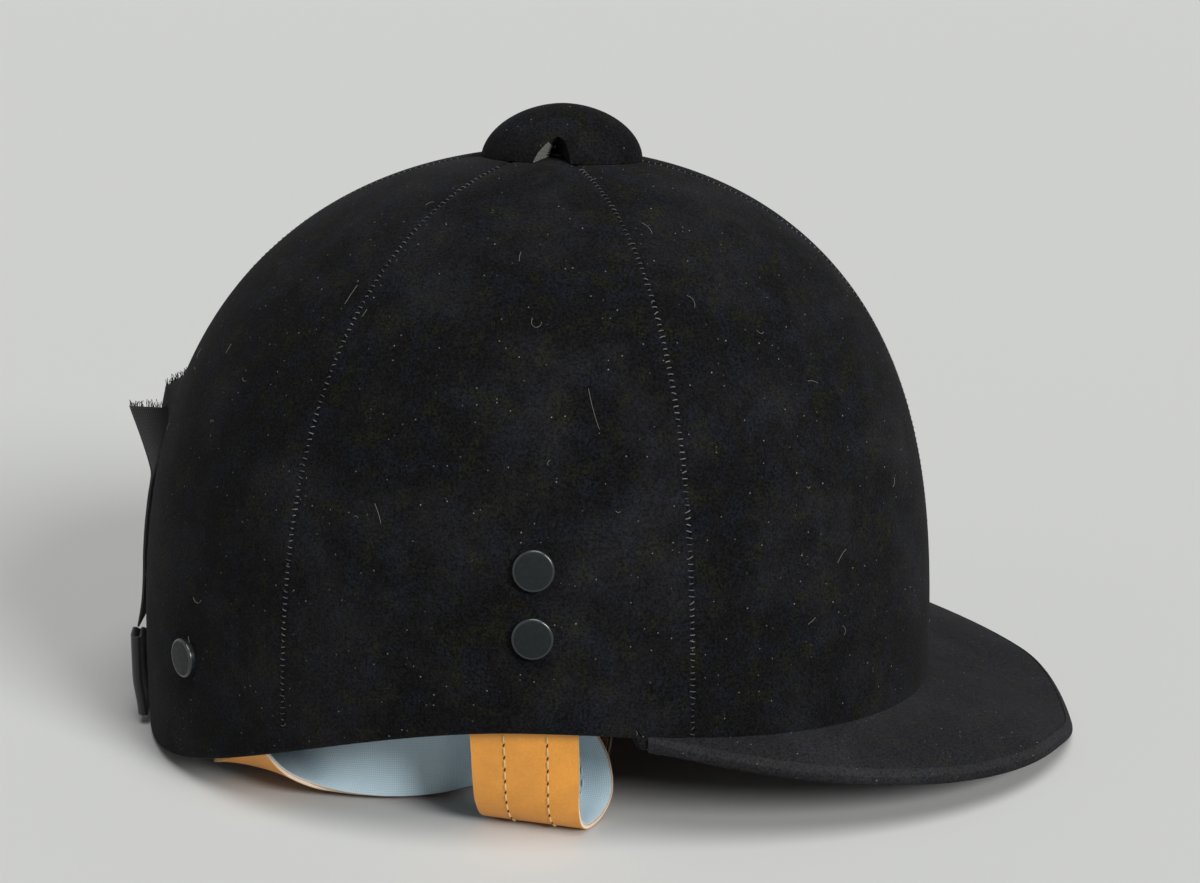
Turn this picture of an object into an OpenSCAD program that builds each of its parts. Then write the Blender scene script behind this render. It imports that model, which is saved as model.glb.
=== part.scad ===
// Velvet hunt cap with a stiff peak, a vent button, a rear bow and a leather harness.
// Millimetres. +X is the front of the cap, -Y the wearer's right side, +Z up.
// The cap stands on the table on its rear rim and the tip of its peak, at z = 0.

/* [Crown] */
// Half the outside length of the crown, front to back
half_len = 127.4; // [118:0.1:136]
// Half the outside width of the crown
half_wid = 106.4; // [100:0.1:113]
// Height of the crown's top above the table
crown_h = 185.5; // [174:0.1:197]
// Place of the crown's centre, forward of the button's datum
crown_cx = -11.5; // [-14:0.1:-9]
// How far the top of the crown leans forward
crown_lean = 5; // [2:0.1:8]
// Roundness of the side wall seen from the side, 2 is an ellipse
side_power = 2.11; // [2:0.01:2.4]
// Squareness of the shoulder under the flat top
top_power = 3.14; // [2.6:0.01:3.4]
// Thickness of the velvet with its backing cloth
velvet_t = 1.0; // [0.7:0.1:1.2]
// Thickness of the moulded shell
shell_t = 2.4; // [1.8:0.1:3]
// Thickness of the impact liner
liner_t = 17; // [12:0.5:19]
// Thickness of the head lining
lining_t = 1.0; // [0.6:0.1:1.4]
// Gap left for glue between two layers
glue_gap = 0.3; // [0.25:0.05:0.4]

/* [Rim] */
// Height of the rim over the ears
rim_side_h = 36; // [30:0.5:40]
// Height of the rim under the front of the peak's root
rim_front_h = 16.5; // [13:0.5:20]
// How much lower the rim is at the peak's corners than over the ears
rim_corner_drop = 2.6; // [1:0.2:5]
// Step from the rim down to the underside of the peak at its corners
corner_step = 3.2; // [2:0.2:4.4]
// Plan angle from the front where the rim is highest
rim_high_angle = 88; // [84:1:94]
// Plan angle from the front where the rim reaches the table
rim_low_angle = 165; // [158:1:168]
// Height of the velvet binding on the shell's edge
binding_h = 8; // [6:0.5:10]
// Thickness of the binding
binding_t = 0.8; // [0.6:0.1:0.9]
// Height of the leather sweatband
sweatband_h = 38; // [28:1:44]
// Thickness of the sweatband
sweatband_t = 1.2; // [1:0.1:1.6]

/* [Peak] */
// Place of the peak's tip, forward of the button's datum
peak_tip_x = 163; // [155:0.5:172]
// Place where the peak leaves the side of the crown
peak_start_x = 28; // [24:0.5:32]
// Roundness of the peak's outline, 2 is an ellipse
peak_power = 2.02; // [1.8:0.02:2.1]
// How fast the peak's edge drops from its sides to its tip
peak_drop_power = 2.1; // [1.8:0.05:2.3]
// Rise of the peak's edge just beside its tip
peak_edge_lift = 6.2; // [3:0.2:7]
// Rise of the peak's crowned surface between its root and its edge
peak_bulge = 2; // [1:0.25:3]
// Thickness of the peak board
peak_board_t = 2.2; // [1.8:0.1:2.6]
// Width of the binding folded round the peak's edge
peak_binding_w = 5; // [4:0.5:7]

/* [Button] */
// Place of the button, forward of the datum
button_x = -2.7; // [-4:0.1:-1]
// Length of the button, front to back
button_len = 50; // [44:0.5:54]
// Width of the button
button_wid = 36; // [32:0.5:40]
// Height of the button over the crown's top
button_rise = 14.7; // [12:0.1:17]
// Width of the vent notch at its foot
notch_w = 12.6; // [10:0.2:14]
// Height of the vent notch
notch_h = 8.8; // [7:0.2:10]
// Distance of the notch behind the button's middle
notch_back = 1.5; // [0:0.1:3]
// Radius of the screw that holds the button
screw_r = 2; // [1.5:0.1:2.4]

/* [Harness] */
// Width of the side strap
side_strap_w = 31; // [26:0.5:34]
// Width of the nape strap
nape_strap_w = 26; // [22:0.5:28]
// Thickness of the leather
leather_t = 1.2; // [1:0.1:2.1]
// Thickness of the woven strap lining
strap_lining_t = 0.4; // [0.3:0.1:0.8]
// Width of the chin strap
chin_w = 16; // [12:0.5:17]
// Thickness of the chin strap
chin_t = 1.6; // [1.2:0.1:1.8]
// Plan angle of the side straps and their rivets from the front
side_rivet_angle = 86; // [82:0.2:90]
// Height of the upper side rivets
side_rivet_hi = 84; // [80:0.5:92]
// Height of the lower side rivets
side_rivet_lo = 65; // [60:0.5:70]
// Plan angle of the rear rivets from the front
rear_rivet_angle = 142; // [138:0.5:146]
// Height of the rear rivets
rear_rivet_z = 41; // [38:0.5:48]
// Radius of a rivet's cap
rivet_cap_r = 6; // [5:0.1:7]
// Radius of a rivet's shank
rivet_r = 1.9; // [1.5:0.1:2.2]

/* [Bow] */
// Width of the bow across the back of the cap
bow_w = 46; // [38:1:54]
// Height of the bow
bow_h = 27; // [22:0.5:30]
// Height of the bow's middle above the table
bow_z = 17; // [14:0.5:24]
// Width of the ribbon
ribbon_w = 19; // [16:0.5:22]
// Thickness of the doubled ribbon
ribbon_t = 0.6; // [0.5:0.1:1]
// Height of the top of the right ribbon tail, which stands away from the cap
tail_top_z = 104; // [92:1:112]
// Height of the top of the left ribbon tail, which stays nearer the cap
far_tail_top_z = 108; // [96:1:118]

/* [Hidden] */

bore_faces = 48;
slop = 0.1;

// Depths of the layers below the velvet's outer face
shell_d = velvet_t + glue_gap;
shell_in_d = shell_d + shell_t;
liner_d = shell_in_d + glue_gap;
liner_in_d = liner_d + 1 + liner_t;
lining_d = liner_in_d + glue_gap;
lining_in_d = lining_d + lining_t;
band_d = lining_in_d + glue_gap;
band_in_d = band_d + sweatband_t;
// Depths of the binding's inner leg and of the straps that leave the rim beside it
leg_d = shell_in_d + 0.2;
leg_in_d = leg_d + binding_t;
tab_rim_d = leg_in_d + glue_gap;
tab_t = leather_t;
tab_play = 0.35;
strap_t = leather_t + strap_lining_t;
strap_mid_d = tab_rim_d + tab_play + strap_t / 2;

// Plan angles of the seams, with stations at the peak's corner and where the step beside it ends
seam_front = 65;
seam_rear = 121;
peak_angle = acos((peak_start_x - crown_cx) / half_len);
corner_run = 1.2;
front_steps = 9;
side_steps = 7;
rear_steps = 7;
function steps(a, b, n) = [for (i = [0:n]) a + (b - a) * i / n];
function reversed(list) = [for (i = [len(list) - 1:-1:0]) list[i]];
front_angles = steps(0, seam_front, front_steps);
side_angles = concat([seam_front, peak_angle], steps(peak_angle + corner_run, seam_rear, side_steps));
rear_angles = steps(seam_rear, 180, rear_steps);
half_angles = concat(front_angles, [for (i = [1:len(side_angles) - 1]) side_angles[i]],
    [for (i = [1:rear_steps]) rear_angles[i]]);
half_n = len(half_angles);
ring_angles = concat(half_angles, [for (i = [half_n - 2:-1:1]) 360 - half_angles[i]]);
back_angles = [for (a = ring_angles) if (a >= peak_angle - 0.01 && a <= 360 - peak_angle + 0.01) a];
// Meridian angles of the rows above the rim, from the table plane to the top
rows = [12, 16, 20, 28, 36, 44, 52, 60, 68, 76, 84];
// Shares of the height between the rim and the first row where every layer has a point
low_shares = [0.36, 0.68];
top_row = 89.4;
closed_top_row = 89.8;

// Curve helpers
function mix(a, b, k) = a + (b - a) * k;
function clamp01(k) = min(1, max(0, k));
function smooth(k) = let (c = clamp01(k)) c * c * (3 - 2 * c);
function power(v, e) = v <= 0 ? 0 : pow(v, e);
function unit(v) = v / norm(v);
function total(v) = v * [for (x = v) 1];
// Point at k of an open curve through hand chosen points
function hermite(a, b, c, d, k) = b + (c - a) * (k / 2) + (2 * a - 5 * b + 4 * c - d) * (k * k / 2)
    + (3 * b - a - 3 * c + d) * (k * k * k / 2);
function curve_at(p, u) = let (n = len(p) - 1, i = min(n - 1, floor(u * n)), k = u * n - i,
    a = i > 0 ? p[i - 1] : 2 * p[0] - p[1], d = i < n - 1 ? p[i + 2] : 2 * p[n] - p[n - 1])
    hermite(a, p[i], p[i + 1], d, k);
function slope(p, u) = curve_at(p, min(1, u + 0.02)) - curve_at(p, max(0, u - 0.02));

// Crown surface: plan angle t from the front, meridian angle f from the table plane, depth d below
// the velvet
function row_sin(f) = power(sin(f), 2 / top_power);
function row_cos(f) = power(cos(f), 2 / side_power);
function crown_pt(t, s, c, z, d) =
    [crown_cx + crown_lean * s * s + (half_len - d) * c * cos(t), -(half_wid - d) * c * sin(t), z];
function crown_at(t, f, d) = crown_pt(t, row_sin(f), row_cos(f), (crown_h - d) * row_sin(f), d);
// The same surface by height z instead of by meridian angle
function meridian(s) = power(1 - power(s, top_power), 1 / side_power);
function wall_at(t, z, d) = let (s = max(0, z) / (crown_h - d)) crown_pt(t, s, meridian(s), z, d);
function normal_at(t, z) = let (p = wall_at(t, z, 0), e = 0.5)
    unit(cross(wall_at(t + e, z, 0) - p, wall_at(t, z + e, 0) - p)) * -1;
// Height of the crown's velvet over a point near its top
function crown_over(x, y) = let (u = abs(x - crown_cx - crown_lean) / half_len, v = abs(y) / half_wid,
    c = sqrt(u * u + v * v)) crown_h * power(1 - power(c, side_power), 1 / top_power);

// Rim height by plan angle, the same on both sides
function half_angle(t) = t <= 180 ? t : 360 - t;
rim_corner_h = rim_side_h - rim_corner_drop;
peak_corner_h = rim_corner_h - corner_step;
function rim_z(t0) = let (t = half_angle(t0))
    t <= peak_angle ? mix(rim_front_h, peak_corner_h, power(t / peak_angle, 1.5))
    : t <= rim_high_angle
    ? mix(rim_corner_h, rim_side_h, 1 - power((rim_high_angle - t) / (rim_high_angle - peak_angle), 2))
        - corner_step * (1 - smooth((t - peak_angle) / corner_run))
    : rim_side_h * (1 - smooth((t - rim_high_angle) / (rim_low_angle - rim_high_angle)));
// Past the peak's corner the parts at the rim change over to the binding's heights
function past_peak(t0, over) = smooth((half_angle(t0) - peak_angle) / over);
peak_cover_t = 0.8;
board_z = peak_cover_t + 0.4;
top_cover_z = board_z + peak_board_t + 0.4;
peak_stack = top_cover_z + peak_cover_t;
shell_foot = 1.9;
function panel_z(t) = rim_z(t) + mix(peak_stack, binding_h, past_peak(t, 10)) + glue_gap;
function shell_z(t) = rim_z(t) + mix(board_z + peak_board_t + glue_gap, shell_foot, past_peak(t, 7));
liner_lift = 1.4;
function liner_z(t) = rim_z(t) + liner_lift;
// Height of the points that every layer shares between the rim and the first row
function low_z(t, d, i) = mix(rim_z(t), (crown_h - d) * row_sin(rows[0]), low_shares[i]);

// Closed solid through a row of rings, each an even loop of points that runs out along one skin
// and back along the other. Faces are turned outwards by the sign of the volume.
module loft(rings, closed = false) {
    n = len(rings);
    k = len(rings[0]);
    pts = [for (r = rings) each r];
    spans = closed ? n : n - 1;
    walls = [for (i = [0:spans - 1], j = [0:k - 1])
        let (here = i * k, next = (i + 1) % n * k, a = here + j, b = here + (j + 1) % k,
            c = next + (j + 1) % k, d = next + j)
        each j < k / 2 ? [[a, b, c], [a, c, d]] : [[a, b, d], [b, c, d]]];
    cap_a = closed ? [] : [for (j = [0:k / 2 - 2])
        each [[k - 1 - j, j + 1, j], [k - 1 - j, k - 2 - j, j + 1]]];
    e = (n - 1) * k;
    cap_b = closed ? [] : [for (f = cap_a) [f[2] + e, f[1] + e, f[0] + e]];
    faces = concat(walls, cap_a, cap_b);
    volume = total([for (f = faces) cross(pts[f[0]], pts[f[1]]) * pts[f[2]]]);
    polyhedron(pts, volume > 0 ? [for (f = faces) [f[2], f[1], f[0]]] : faces);
}

// One layer of the crown between two depths, from a rim height up to the top row
function layer_ring(t, z, out_d, in_d, last) =
    concat(skin(t, z, out_d, out_d, last), reversed(skin(t, z, in_d, in_d, last)));
// One skin of a layer, at depth low_d near the rim and d above
function skin(t, z, low_d, d, last) = concat([wall_at(t, z, low_d), wall_at(t, low_z(t, low_d, 0), low_d),
    wall_at(t, low_z(t, d, 1), d)], [for (f = rows) crown_at(t, f, d)], [crown_at(t, last, d)]);
module both(mirrored) {
    if (mirrored) mirror([0, 1, 0]) children();
    else children();
}
// Moves a child made along +Z onto the crown's wall, pointing outwards
module on_wall(t, z) {
    n = normal_at(t, z);
    translate(wall_at(t, z, 0)) rotate([0, acos(n[2]), atan2(n[1], n[0])]) children();
}

// Shell with its rivet holes and the vent hole under the button
eyelet_r = 6;
hole_depth = 14;
hole_len = 24;
module rivet_hole(t, z) {
    on_wall(t, z) translate([0, 0, -hole_depth])
        cylinder(r = rivet_r + slop, h = hole_len, $fn = bore_faces);
}
module side_holes() {
    for (m = [false, true], z = [side_rivet_lo, side_rivet_hi]) both(m) rivet_hole(side_rivet_angle, z);
}
module rear_holes() {
    for (m = [false, true]) both(m) rivet_hole(rear_rivet_angle, rear_rivet_z);
}
module shell() {
    color("#1b1a1c") difference() {
        loft([for (t = ring_angles) layer_ring(t, shell_z(t), shell_d, shell_in_d, top_row)], closed = true);
        side_holes();
        rear_holes();
        translate([button_x, 0, crown_h - hole_len / 2])
            cylinder(r = eyelet_r, h = hole_len, $fn = bore_faces);
    }
}

// Velvet panels, six between seams that meet under the button
seam_gap = 0.3;
panel_top = 85;
function panel_ring(t, shift) = [for (p = layer_ring(t, panel_z(t), 0, velvet_t, panel_top))
    let (q = [p[0] - crown_cx - crown_lean * pow(p[2] / crown_h, 2), p[1]], r = norm(q))
    p + shift * [-q[1] / r, q[0] / r, 0]];
module panel(angles, mirrored) {
    n = len(angles) - 1;
    color("#131214") both(mirrored)
        loft([for (i = [0:n]) panel_ring(angles[i], i == 0 ? -seam_gap / 2 : i == n ? seam_gap / 2 : 0)]);
}
module side_panel(mirrored) {
    difference() {
        panel(side_angles, mirrored);
        side_holes();
    }
}
module rear_panel(mirrored) {
    difference() {
        panel(rear_angles, mirrored);
        rear_holes();
    }
}
module cover_front_right() { panel(front_angles, false); }
module cover_front_left() { panel(front_angles, true); }
module cover_side_right() { side_panel(false); }
module cover_side_left() { side_panel(true); }
module cover_rear_right() { rear_panel(false); }
module cover_rear_left() { rear_panel(true); }

// Velvet binding folded round the shell's lower edge behind the peak
function binding_ring(t) = let (z = rim_z(t), top = panel_z(t) - glue_gap, w = leg_in_d)
    [for (q = [[0, top - z], [0, 1.8], [0.5, 0.5], [1.3, 0], [w - 1.3, 0], [w - 0.5, 0.5], [w, 1.8],
        [w, binding_h], [leg_d, binding_h], [leg_d, 2], [leg_d - 0.4, 1.2], [w / 2 + 0.5, binding_t],
        [w / 2 - 0.5, binding_t], [velvet_t + 0.4, 1.2], [velvet_t, 2], [velvet_t, top - z]])
        wall_at(t, z + q[1], q[0])];
// The peak ends a little before its corners, and the strips behind it start just past its ends
peak_end = 88;
corner_gap = 0.25;
strip_start = peak_angle * peak_end / 90 + corner_gap;
strip_angles = concat([strip_start], back_angles, [360 - strip_start]);
module rim_binding() {
    color("#121113") loft([for (t = strip_angles) binding_ring(t)]);
}

// Cloth facing that closes the liner's underside
facing_d = strap_mid_d + strap_t / 2 + 1.2;
facing_lift = 0.3;
module rim_facing() {
    color("#17161a") loft([for (t = strip_angles) let (z = rim_z(t) + facing_lift)
        [wall_at(t, z, facing_d), wall_at(t, z, band_in_d), wall_at(t, z + binding_t, band_in_d),
        wall_at(t, z + binding_t, facing_d)]]);
}

// Peak: e runs from -90 at the left corner through 0 at the tip to 90 at the right corner
peak_steps = 24;
peak_angles = steps(-peak_end, peak_end, peak_steps);
peak_cover_angles = steps(-80, 80, peak_steps - 2);
peak_len = peak_tip_x - peak_start_x;
peak_half = half_wid * sqrt(1 - pow((peak_start_x - crown_cx) / half_len, 2));
function peak_edge(e, inset) = [peak_start_x + (peak_len - inset) * power(cos(e), 2 / peak_power),
    -sign(e) * (peak_half - inset) * power(abs(sin(e)), 2 / peak_power)];
function peak_root(e, d) = let (t = peak_angle * e / 90)
    [crown_cx + (half_len - d) * cos(t), -(half_wid - d) * sin(t)];
// The binding's lowest line lies a little inside the edge, and touches the table at the tip
binding_foot = 1.5;
tip_sink = binding_foot * (rim_front_h + PI * peak_bulge) / (peak_tip_x - crown_cx - half_len);
function peak_edge_z(e) = let (k = abs(e) / 90) peak_corner_h * power(k, peak_drop_power)
    + peak_edge_lift * (1 - k) * smooth(4 * k) - tip_sink * pow(1 - k, 2);
// Height of the peak's lower face at share w of the way from the crown's face to the edge
function peak_low_z(e, w) = mix(rim_z(abs(e) / 90 * peak_angle), peak_edge_z(e), w)
    + peak_bulge * sin(180 * clamp01(w)) * cos(e);
function peak_pt(e, p, lift) = let (a = peak_root(e, 0), b = peak_edge(e, 0), span = max(0.5, norm(b - a)),
    w = clamp01(((p - a) * (b - a)) / (span * span))) [p[0], p[1], peak_low_z(e, w) + lift];
function peak_ring(e, d, inset, lift, t, n) = let (a = peak_root(e, d), b = peak_edge(e, inset))
    concat([for (i = [0:n]) peak_pt(e, mix(a, b, i / n), lift)],
        [for (i = [n:-1:0]) peak_pt(e, mix(a, b, i / n), lift + t)]);
board_inset = 1.7;
board_d = shell_in_d + 0.5;
// Width of the edge binding, narrower where the peak runs out at its corners
function edge_w(e) = max(0.9, min(peak_binding_w, norm(peak_edge(e, 0) - peak_root(e, 0)) / 2));
module peak_board() {
    color("#2b2724")
        loft([for (e = peak_angles) peak_ring(e, board_d, board_inset, board_z, peak_board_t, 3)]);
}
module peak_top_cover() {
    color("#141315") loft([for (e = peak_cover_angles)
        peak_ring(e, velvet_t - 0.1, edge_w(e) + glue_gap, top_cover_z, peak_cover_t, 3)]);
}
// The under cover runs on inwards from the board's inner edge, as the facing of the liner's front
module peak_under_cover() {
    color("#161518") loft([for (e = peak_angles)
        let (r = peak_ring(e, board_d, edge_w(e) + glue_gap, 0, peak_cover_t, 3), p = peak_root(e, band_in_d))
        concat([peak_pt(e, p, 0)], r, [peak_pt(e, p, peak_cover_t)])]);
}
function edge_ring(e) = let (w = edge_w(e), s = peak_stack, c = peak_cover_t, k = min(1, w / 2.2))
    [for (q = [[w, 0], [binding_foot * k, 0], [0.4 * k, 0.7], [0, s / 2], [0.4 * k, s - 0.7],
        [binding_foot * k, s], [w, s], [w, s - c], [1.9 * k, s - c], [1.2 * k, s - 1.3], [0.8 * k, s / 2],
        [1.2 * k, 1.3], [1.9 * k, c], [w, c]]) peak_pt(e, peak_edge(e, q[0]), q[1])];
module peak_edge_binding() {
    color("#131214") loft([for (e = peak_angles) edge_ring(e)]);
}

// Button with its two vent notches, its core, screw and washer
button_steps = 24;
button_rows = [12, 26, 40, 54, 68, 80, 89.7];
button_power = 1.88;
button_lean = 0.4;
button_foot = crown_over(button_x + button_len / 2, 0) + glue_gap;
function dome_pt(t, g, grow, foot) = let (c = power(cos(g), 2 / button_power),
    s = power(sin(g), 2 / button_power), x = (button_len / 2 - grow) * c * cos(t),
    y = (button_wid / 2 - grow) * c * sin(t))
    [button_x + button_lean * s + x, -y, foot + (crown_h + button_rise - grow - foot) * s];
function dome_foot(t, grow) = let (p = dome_pt(t, 0, grow, 0))
    [p[0], p[1], crown_over(p[0], p[1]) + glue_gap];
button_skin = 1.1;
// The notch slopes up slowly from the back and falls steeply at the front
notch_foot = 1.5;
notch_shape = [[-0.86, 0], [-0.62, 0.4], [-0.1, 0.84], [0.35, 1], [0.66, 0.76], [0.82, 0.36], [0.86, 0]];
module notch_tunnel() {
    hw = notch_w / 2;
    deep = 4 + notch_foot;
    translate([button_x - notch_back, button_wid, button_foot + notch_foot]) rotate([90, 0, 0])
        linear_extrude(height = 2 * button_wid)
            polygon(concat([[-hw, -deep]], [for (q = notch_shape) [hw * q[0], (notch_h - notch_foot) * q[1]]],
                [[hw, -deep]]));
}
module button_cover() {
    color("#121113") difference() {
        loft([for (i = [0:button_steps - 1]) let (t = 360 * i / button_steps)
            concat([dome_foot(t, 0)], [for (g = button_rows) dome_pt(t, g, 0, button_foot)],
                [for (g = reversed(button_rows)) dome_pt(t, g, button_skin, button_foot)],
                [dome_foot(t, button_skin)])], closed = true);
        notch_tunnel();
    }
}
core_grow = button_skin + 0.3;
core_base = crown_h + 1.2;
core_rows = [14, 28, 42, 56, 70, 80, 89.7];
core_foot = 0.5;
boss_r = 5;
screw_play = 0.05;
function core_ring(t) = let (up = [for (g = core_rows) let (p = dome_pt(t, g, core_grow, button_foot))
    [p[0], p[1], max(p[2], core_base)]])
    concat(up, [for (p = reversed(up)) [p[0], p[1], core_base - core_foot]]);
module button_core() {
    color("#242224") difference() {
        union() {
            loft([for (i = [0:button_steps - 1]) core_ring(360 * i / button_steps)], closed = true);
            translate([button_x, 0, core_base - 0.3])
                cylinder(r = boss_r, h = button_rise - core_grow - 1.4, $fn = bore_faces);
        }
        notch_tunnel();
        translate([button_x, 0, core_base - 4])
            cylinder(r = screw_r + screw_play, h = button_rise, $fn = bore_faces);
    }
}
washer_top = crown_at(0, 80, shell_in_d)[2] - 0.4;
washer_t = 1.2;
washer_r = 10.5;
screw_len = core_base + button_rise - 6 - washer_top;
screw_head_h = 2.15;
module button_screw() {
    color("#1f2022") translate([button_x, 0, washer_top]) {
        cylinder(r = screw_r, h = screw_len, $fn = bore_faces);
        translate([0, 0, -washer_t - screw_play - screw_head_h])
            cylinder(r = screw_r * 2, h = screw_head_h, $fn = bore_faces);
        translate([0, 0, -washer_t - 0.1]) cylinder(r = screw_r, h = washer_t + 0.2, $fn = bore_faces);
    }
}
module button_washer() {
    color("#1f2022") translate([button_x, 0, washer_top - washer_t]) difference() {
        cylinder(r = washer_r, h = washer_t, $fn = bore_faces);
        translate([0, 0, -1]) cylinder(r = screw_r + screw_play, h = washer_t + 2, $fn = bore_faces);
    }
}
// Eyelet of the vent: a tube through the shell with a flange on the crown
eyelet_t = 1.3;
eyelet_flange_r = 8.2;
eyelet_flange_t = 0.8;
module crown_eyelet() {
    top = crown_over(button_x + eyelet_flange_r, 0) - shell_d * 0.1;
    foot = washer_top + 0.3;
    out = eyelet_r - 0.3;
    color("#1f2022") translate([button_x, 0, 0]) rotate_extrude($fn = bore_faces)
        polygon([[out - eyelet_t, foot], [out, foot], [out, top], [eyelet_flange_r, top],
            [eyelet_flange_r, top + eyelet_flange_t], [out - eyelet_t, top + eyelet_flange_t]]);
}

// Impact liner with pockets for the strap tabs and the button's washer
function tab_depth(t, z) = let (a = low_z(t, tab_rim_d, 0), b = low_z(t, liner_d, 1))
    mix(tab_rim_d, liner_d, clamp01((z - a) / (b - a))) + tab_play;
function liner_ring(t) = let (z = liner_z(t))
    concat(skin(t, z, tab_rim_d, liner_d, top_row), reversed(skin(t, z, liner_in_d, liner_in_d, top_row)));
// Ring across a tab at a station of its path, w wide and from depth a to depth b under the tab's outer face
function tab_pt(q, s, deep) = let (p = tab_edge(q, s)) wall_at(p[0], p[1], tab_depth(p[0], p[1]) + deep);
function tab_ring(q, w, a, b) = let (cols = [-1, -0.5, 0, 0.5, 1]) concat(
    [for (c = cols) tab_pt(q, c * w / 2, a)], [for (c = reversed(cols)) tab_pt(q, c * w / 2, b)]);
// Pocket cut along a tab's path, wider than the tab and deep enough for its rivet washers
pocket_side = 0.8;
pocket_in = 2.4;
module tab_pocket(path, w) {
    loft([for (q = path) tab_ring(q, w + 2 * pocket_side, -0.9, tab_t + pocket_in)]);
}
module impact_liner() {
    color("#d9d9d4") difference() {
        loft([for (t = ring_angles) liner_ring(t)], closed = true);
        for (m = [false, true]) both(m) {
            tab_pocket(long_path(side_tab), side_strap_w);
            tab_pocket(long_path(nape_tab), nape_strap_w);
        }
        translate([button_x, 0, washer_top - 8]) cylinder(r = washer_r + 1, h = 20, $fn = bore_faces);
    }
}
module head_lining() {
    color("#8f1f2b") loft([for (t = ring_angles)
        layer_ring(t, liner_z(t), lining_d, lining_in_d, closed_top_row)], closed = true);
}
// Crown pad: meridian angle and thickness from its edge to its middle
pad_rows = [[66, 1.8], [76, 6], [84, 7], [closed_top_row, 7.4]];
module crown_pad() {
    color("#7d1b26") loft([for (t = ring_angles) concat([for (q = pad_rows) crown_at(t, q[0], band_d)],
        [for (q = reversed(pad_rows)) crown_at(t, q[0], band_d + q[1])])], closed = true);
}
function band_ring(t, d) = let (z = liner_z(t), top = z + sweatband_h, first = crown_at(t, rows[0], d)[2],
    heights = [z, low_z(t, d, 0), min(low_z(t, d, 1), top - 2), min(first, top - 1), top])
    [for (h = heights) wall_at(t, h, d)];
module sweatband() {
    color("#5b3a22") loft([for (t = ring_angles)
        concat(band_ring(t, band_d + 0.2), reversed(band_ring(t, band_in_d + 0.2)))], closed = true);
}

// Rivets: cap outside the velvet, shank through shell and tab, washer behind the tab
rivet_cap_h = 2;
rivet_cap_gap = 0.35;
rivet_washer_t = 0.8;
rivet_washer_z = 1.3;
module rivet(t, z) {
    reach = tab_depth(t, z) + tab_t + rivet_washer_z + 0.4;
    on_wall(t, z) {
        rotate_extrude($fn = bore_faces) polygon([[0, rivet_cap_gap], [rivet_cap_r, rivet_cap_gap],
            [rivet_cap_r, 1.1], [rivet_cap_r - 1, rivet_cap_h], [0, rivet_cap_h]]);
        translate([0, 0, -reach]) cylinder(r = rivet_r, h = reach + 2 * rivet_cap_gap, $fn = bore_faces);
    }
}
module rivet_washer(t, z) {
    on_wall(t, z) translate([0, 0, -tab_depth(t, z) - tab_t - rivet_washer_z]) difference() {
        cylinder(r = rivet_r + 2.6, h = rivet_washer_t, $fn = bore_faces);
        translate([0, 0, -1]) cylinder(r = rivet_r + screw_play, h = 3, $fn = bore_faces);
    }
}
module side_rivets() {
    color("#1f2022") for (m = [false, true], z = [side_rivet_lo, side_rivet_hi])
        both(m) rivet(side_rivet_angle, z);
}
module rear_rivets() {
    color("#1f2022") for (m = [false, true]) both(m) rivet(rear_rivet_angle, rear_rivet_z);
}
module rivet_washers() {
    color("#a8a9ab") for (m = [false, true]) both(m) {
        rivet_washer(side_rivet_angle, side_rivet_lo);
        rivet_washer(side_rivet_angle, side_rivet_hi);
        rivet_washer(rear_rivet_angle, rear_rivet_z);
    }
}

// Strap tabs between shell and liner: stations of plan angle, height and slant from upright along the
// middle of the tab
side_exit_angle = rim_high_angle - 0.8;
tab_lift = 0.2;
side_tab_top = side_rivet_hi + 11;
side_tab_heights = concat(steps(rim_side_h + tab_lift, side_rivet_lo - 6, 4),
    steps(side_rivet_lo, side_tab_top, 3));
side_tab = [for (z = side_tab_heights) let (k = clamp01((z - rim_side_h) / (side_rivet_lo - rim_side_h)))
    [mix(side_exit_angle, side_rivet_angle, k), z, 0]];
nape_exit_angle = rear_rivet_angle - 8.5;
nape_slant = 23;
nape_tab_top = rear_rivet_z + 9;
nape_tab = [for (k = [0:6]) let (u = k / 6) [mix(nape_exit_angle, rear_rivet_angle + 0.6, smooth(u * 1.1)),
    mix(rim_z(nape_exit_angle) + tab_lift, nape_tab_top, u), nape_slant]];
// Length along the wall of one degree of plan angle, and the point to one side of a station, square to
// the tab
function turn_mm(t, z) = norm(wall_at(t + 0.5, z, 0) - wall_at(t - 0.5, z, 0));
function tab_edge(q, s) = [q[0] + s * cos(q[2]) / turn_mm(q[0], q[1]), q[1] - s * sin(q[2])];
// A pocket's path runs past both ends of its tab
function long_path(p) = let (n = len(p) - 1)
    concat([2 * p[0] - p[1]], p, [p[n] + [0, 2, 0]]);
module side_tab(mirrored) {
    color("#c98236") difference() {
        both(mirrored) loft([for (q = side_tab) tab_ring(q, side_strap_w, 0, tab_t)]);
        side_holes();
    }
}
module nape_tab(mirrored) {
    color("#c98236") difference() {
        both(mirrored) loft([for (q = nape_tab) tab_ring(q, nape_strap_w, 0, tab_t)]);
        rear_holes();
    }
}
module side_tab_right() { side_tab(false); }
module side_tab_left() { side_tab(true); }
module nape_tab_right() { nape_tab(false); }
module nape_tab_left() { nape_tab(true); }

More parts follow.
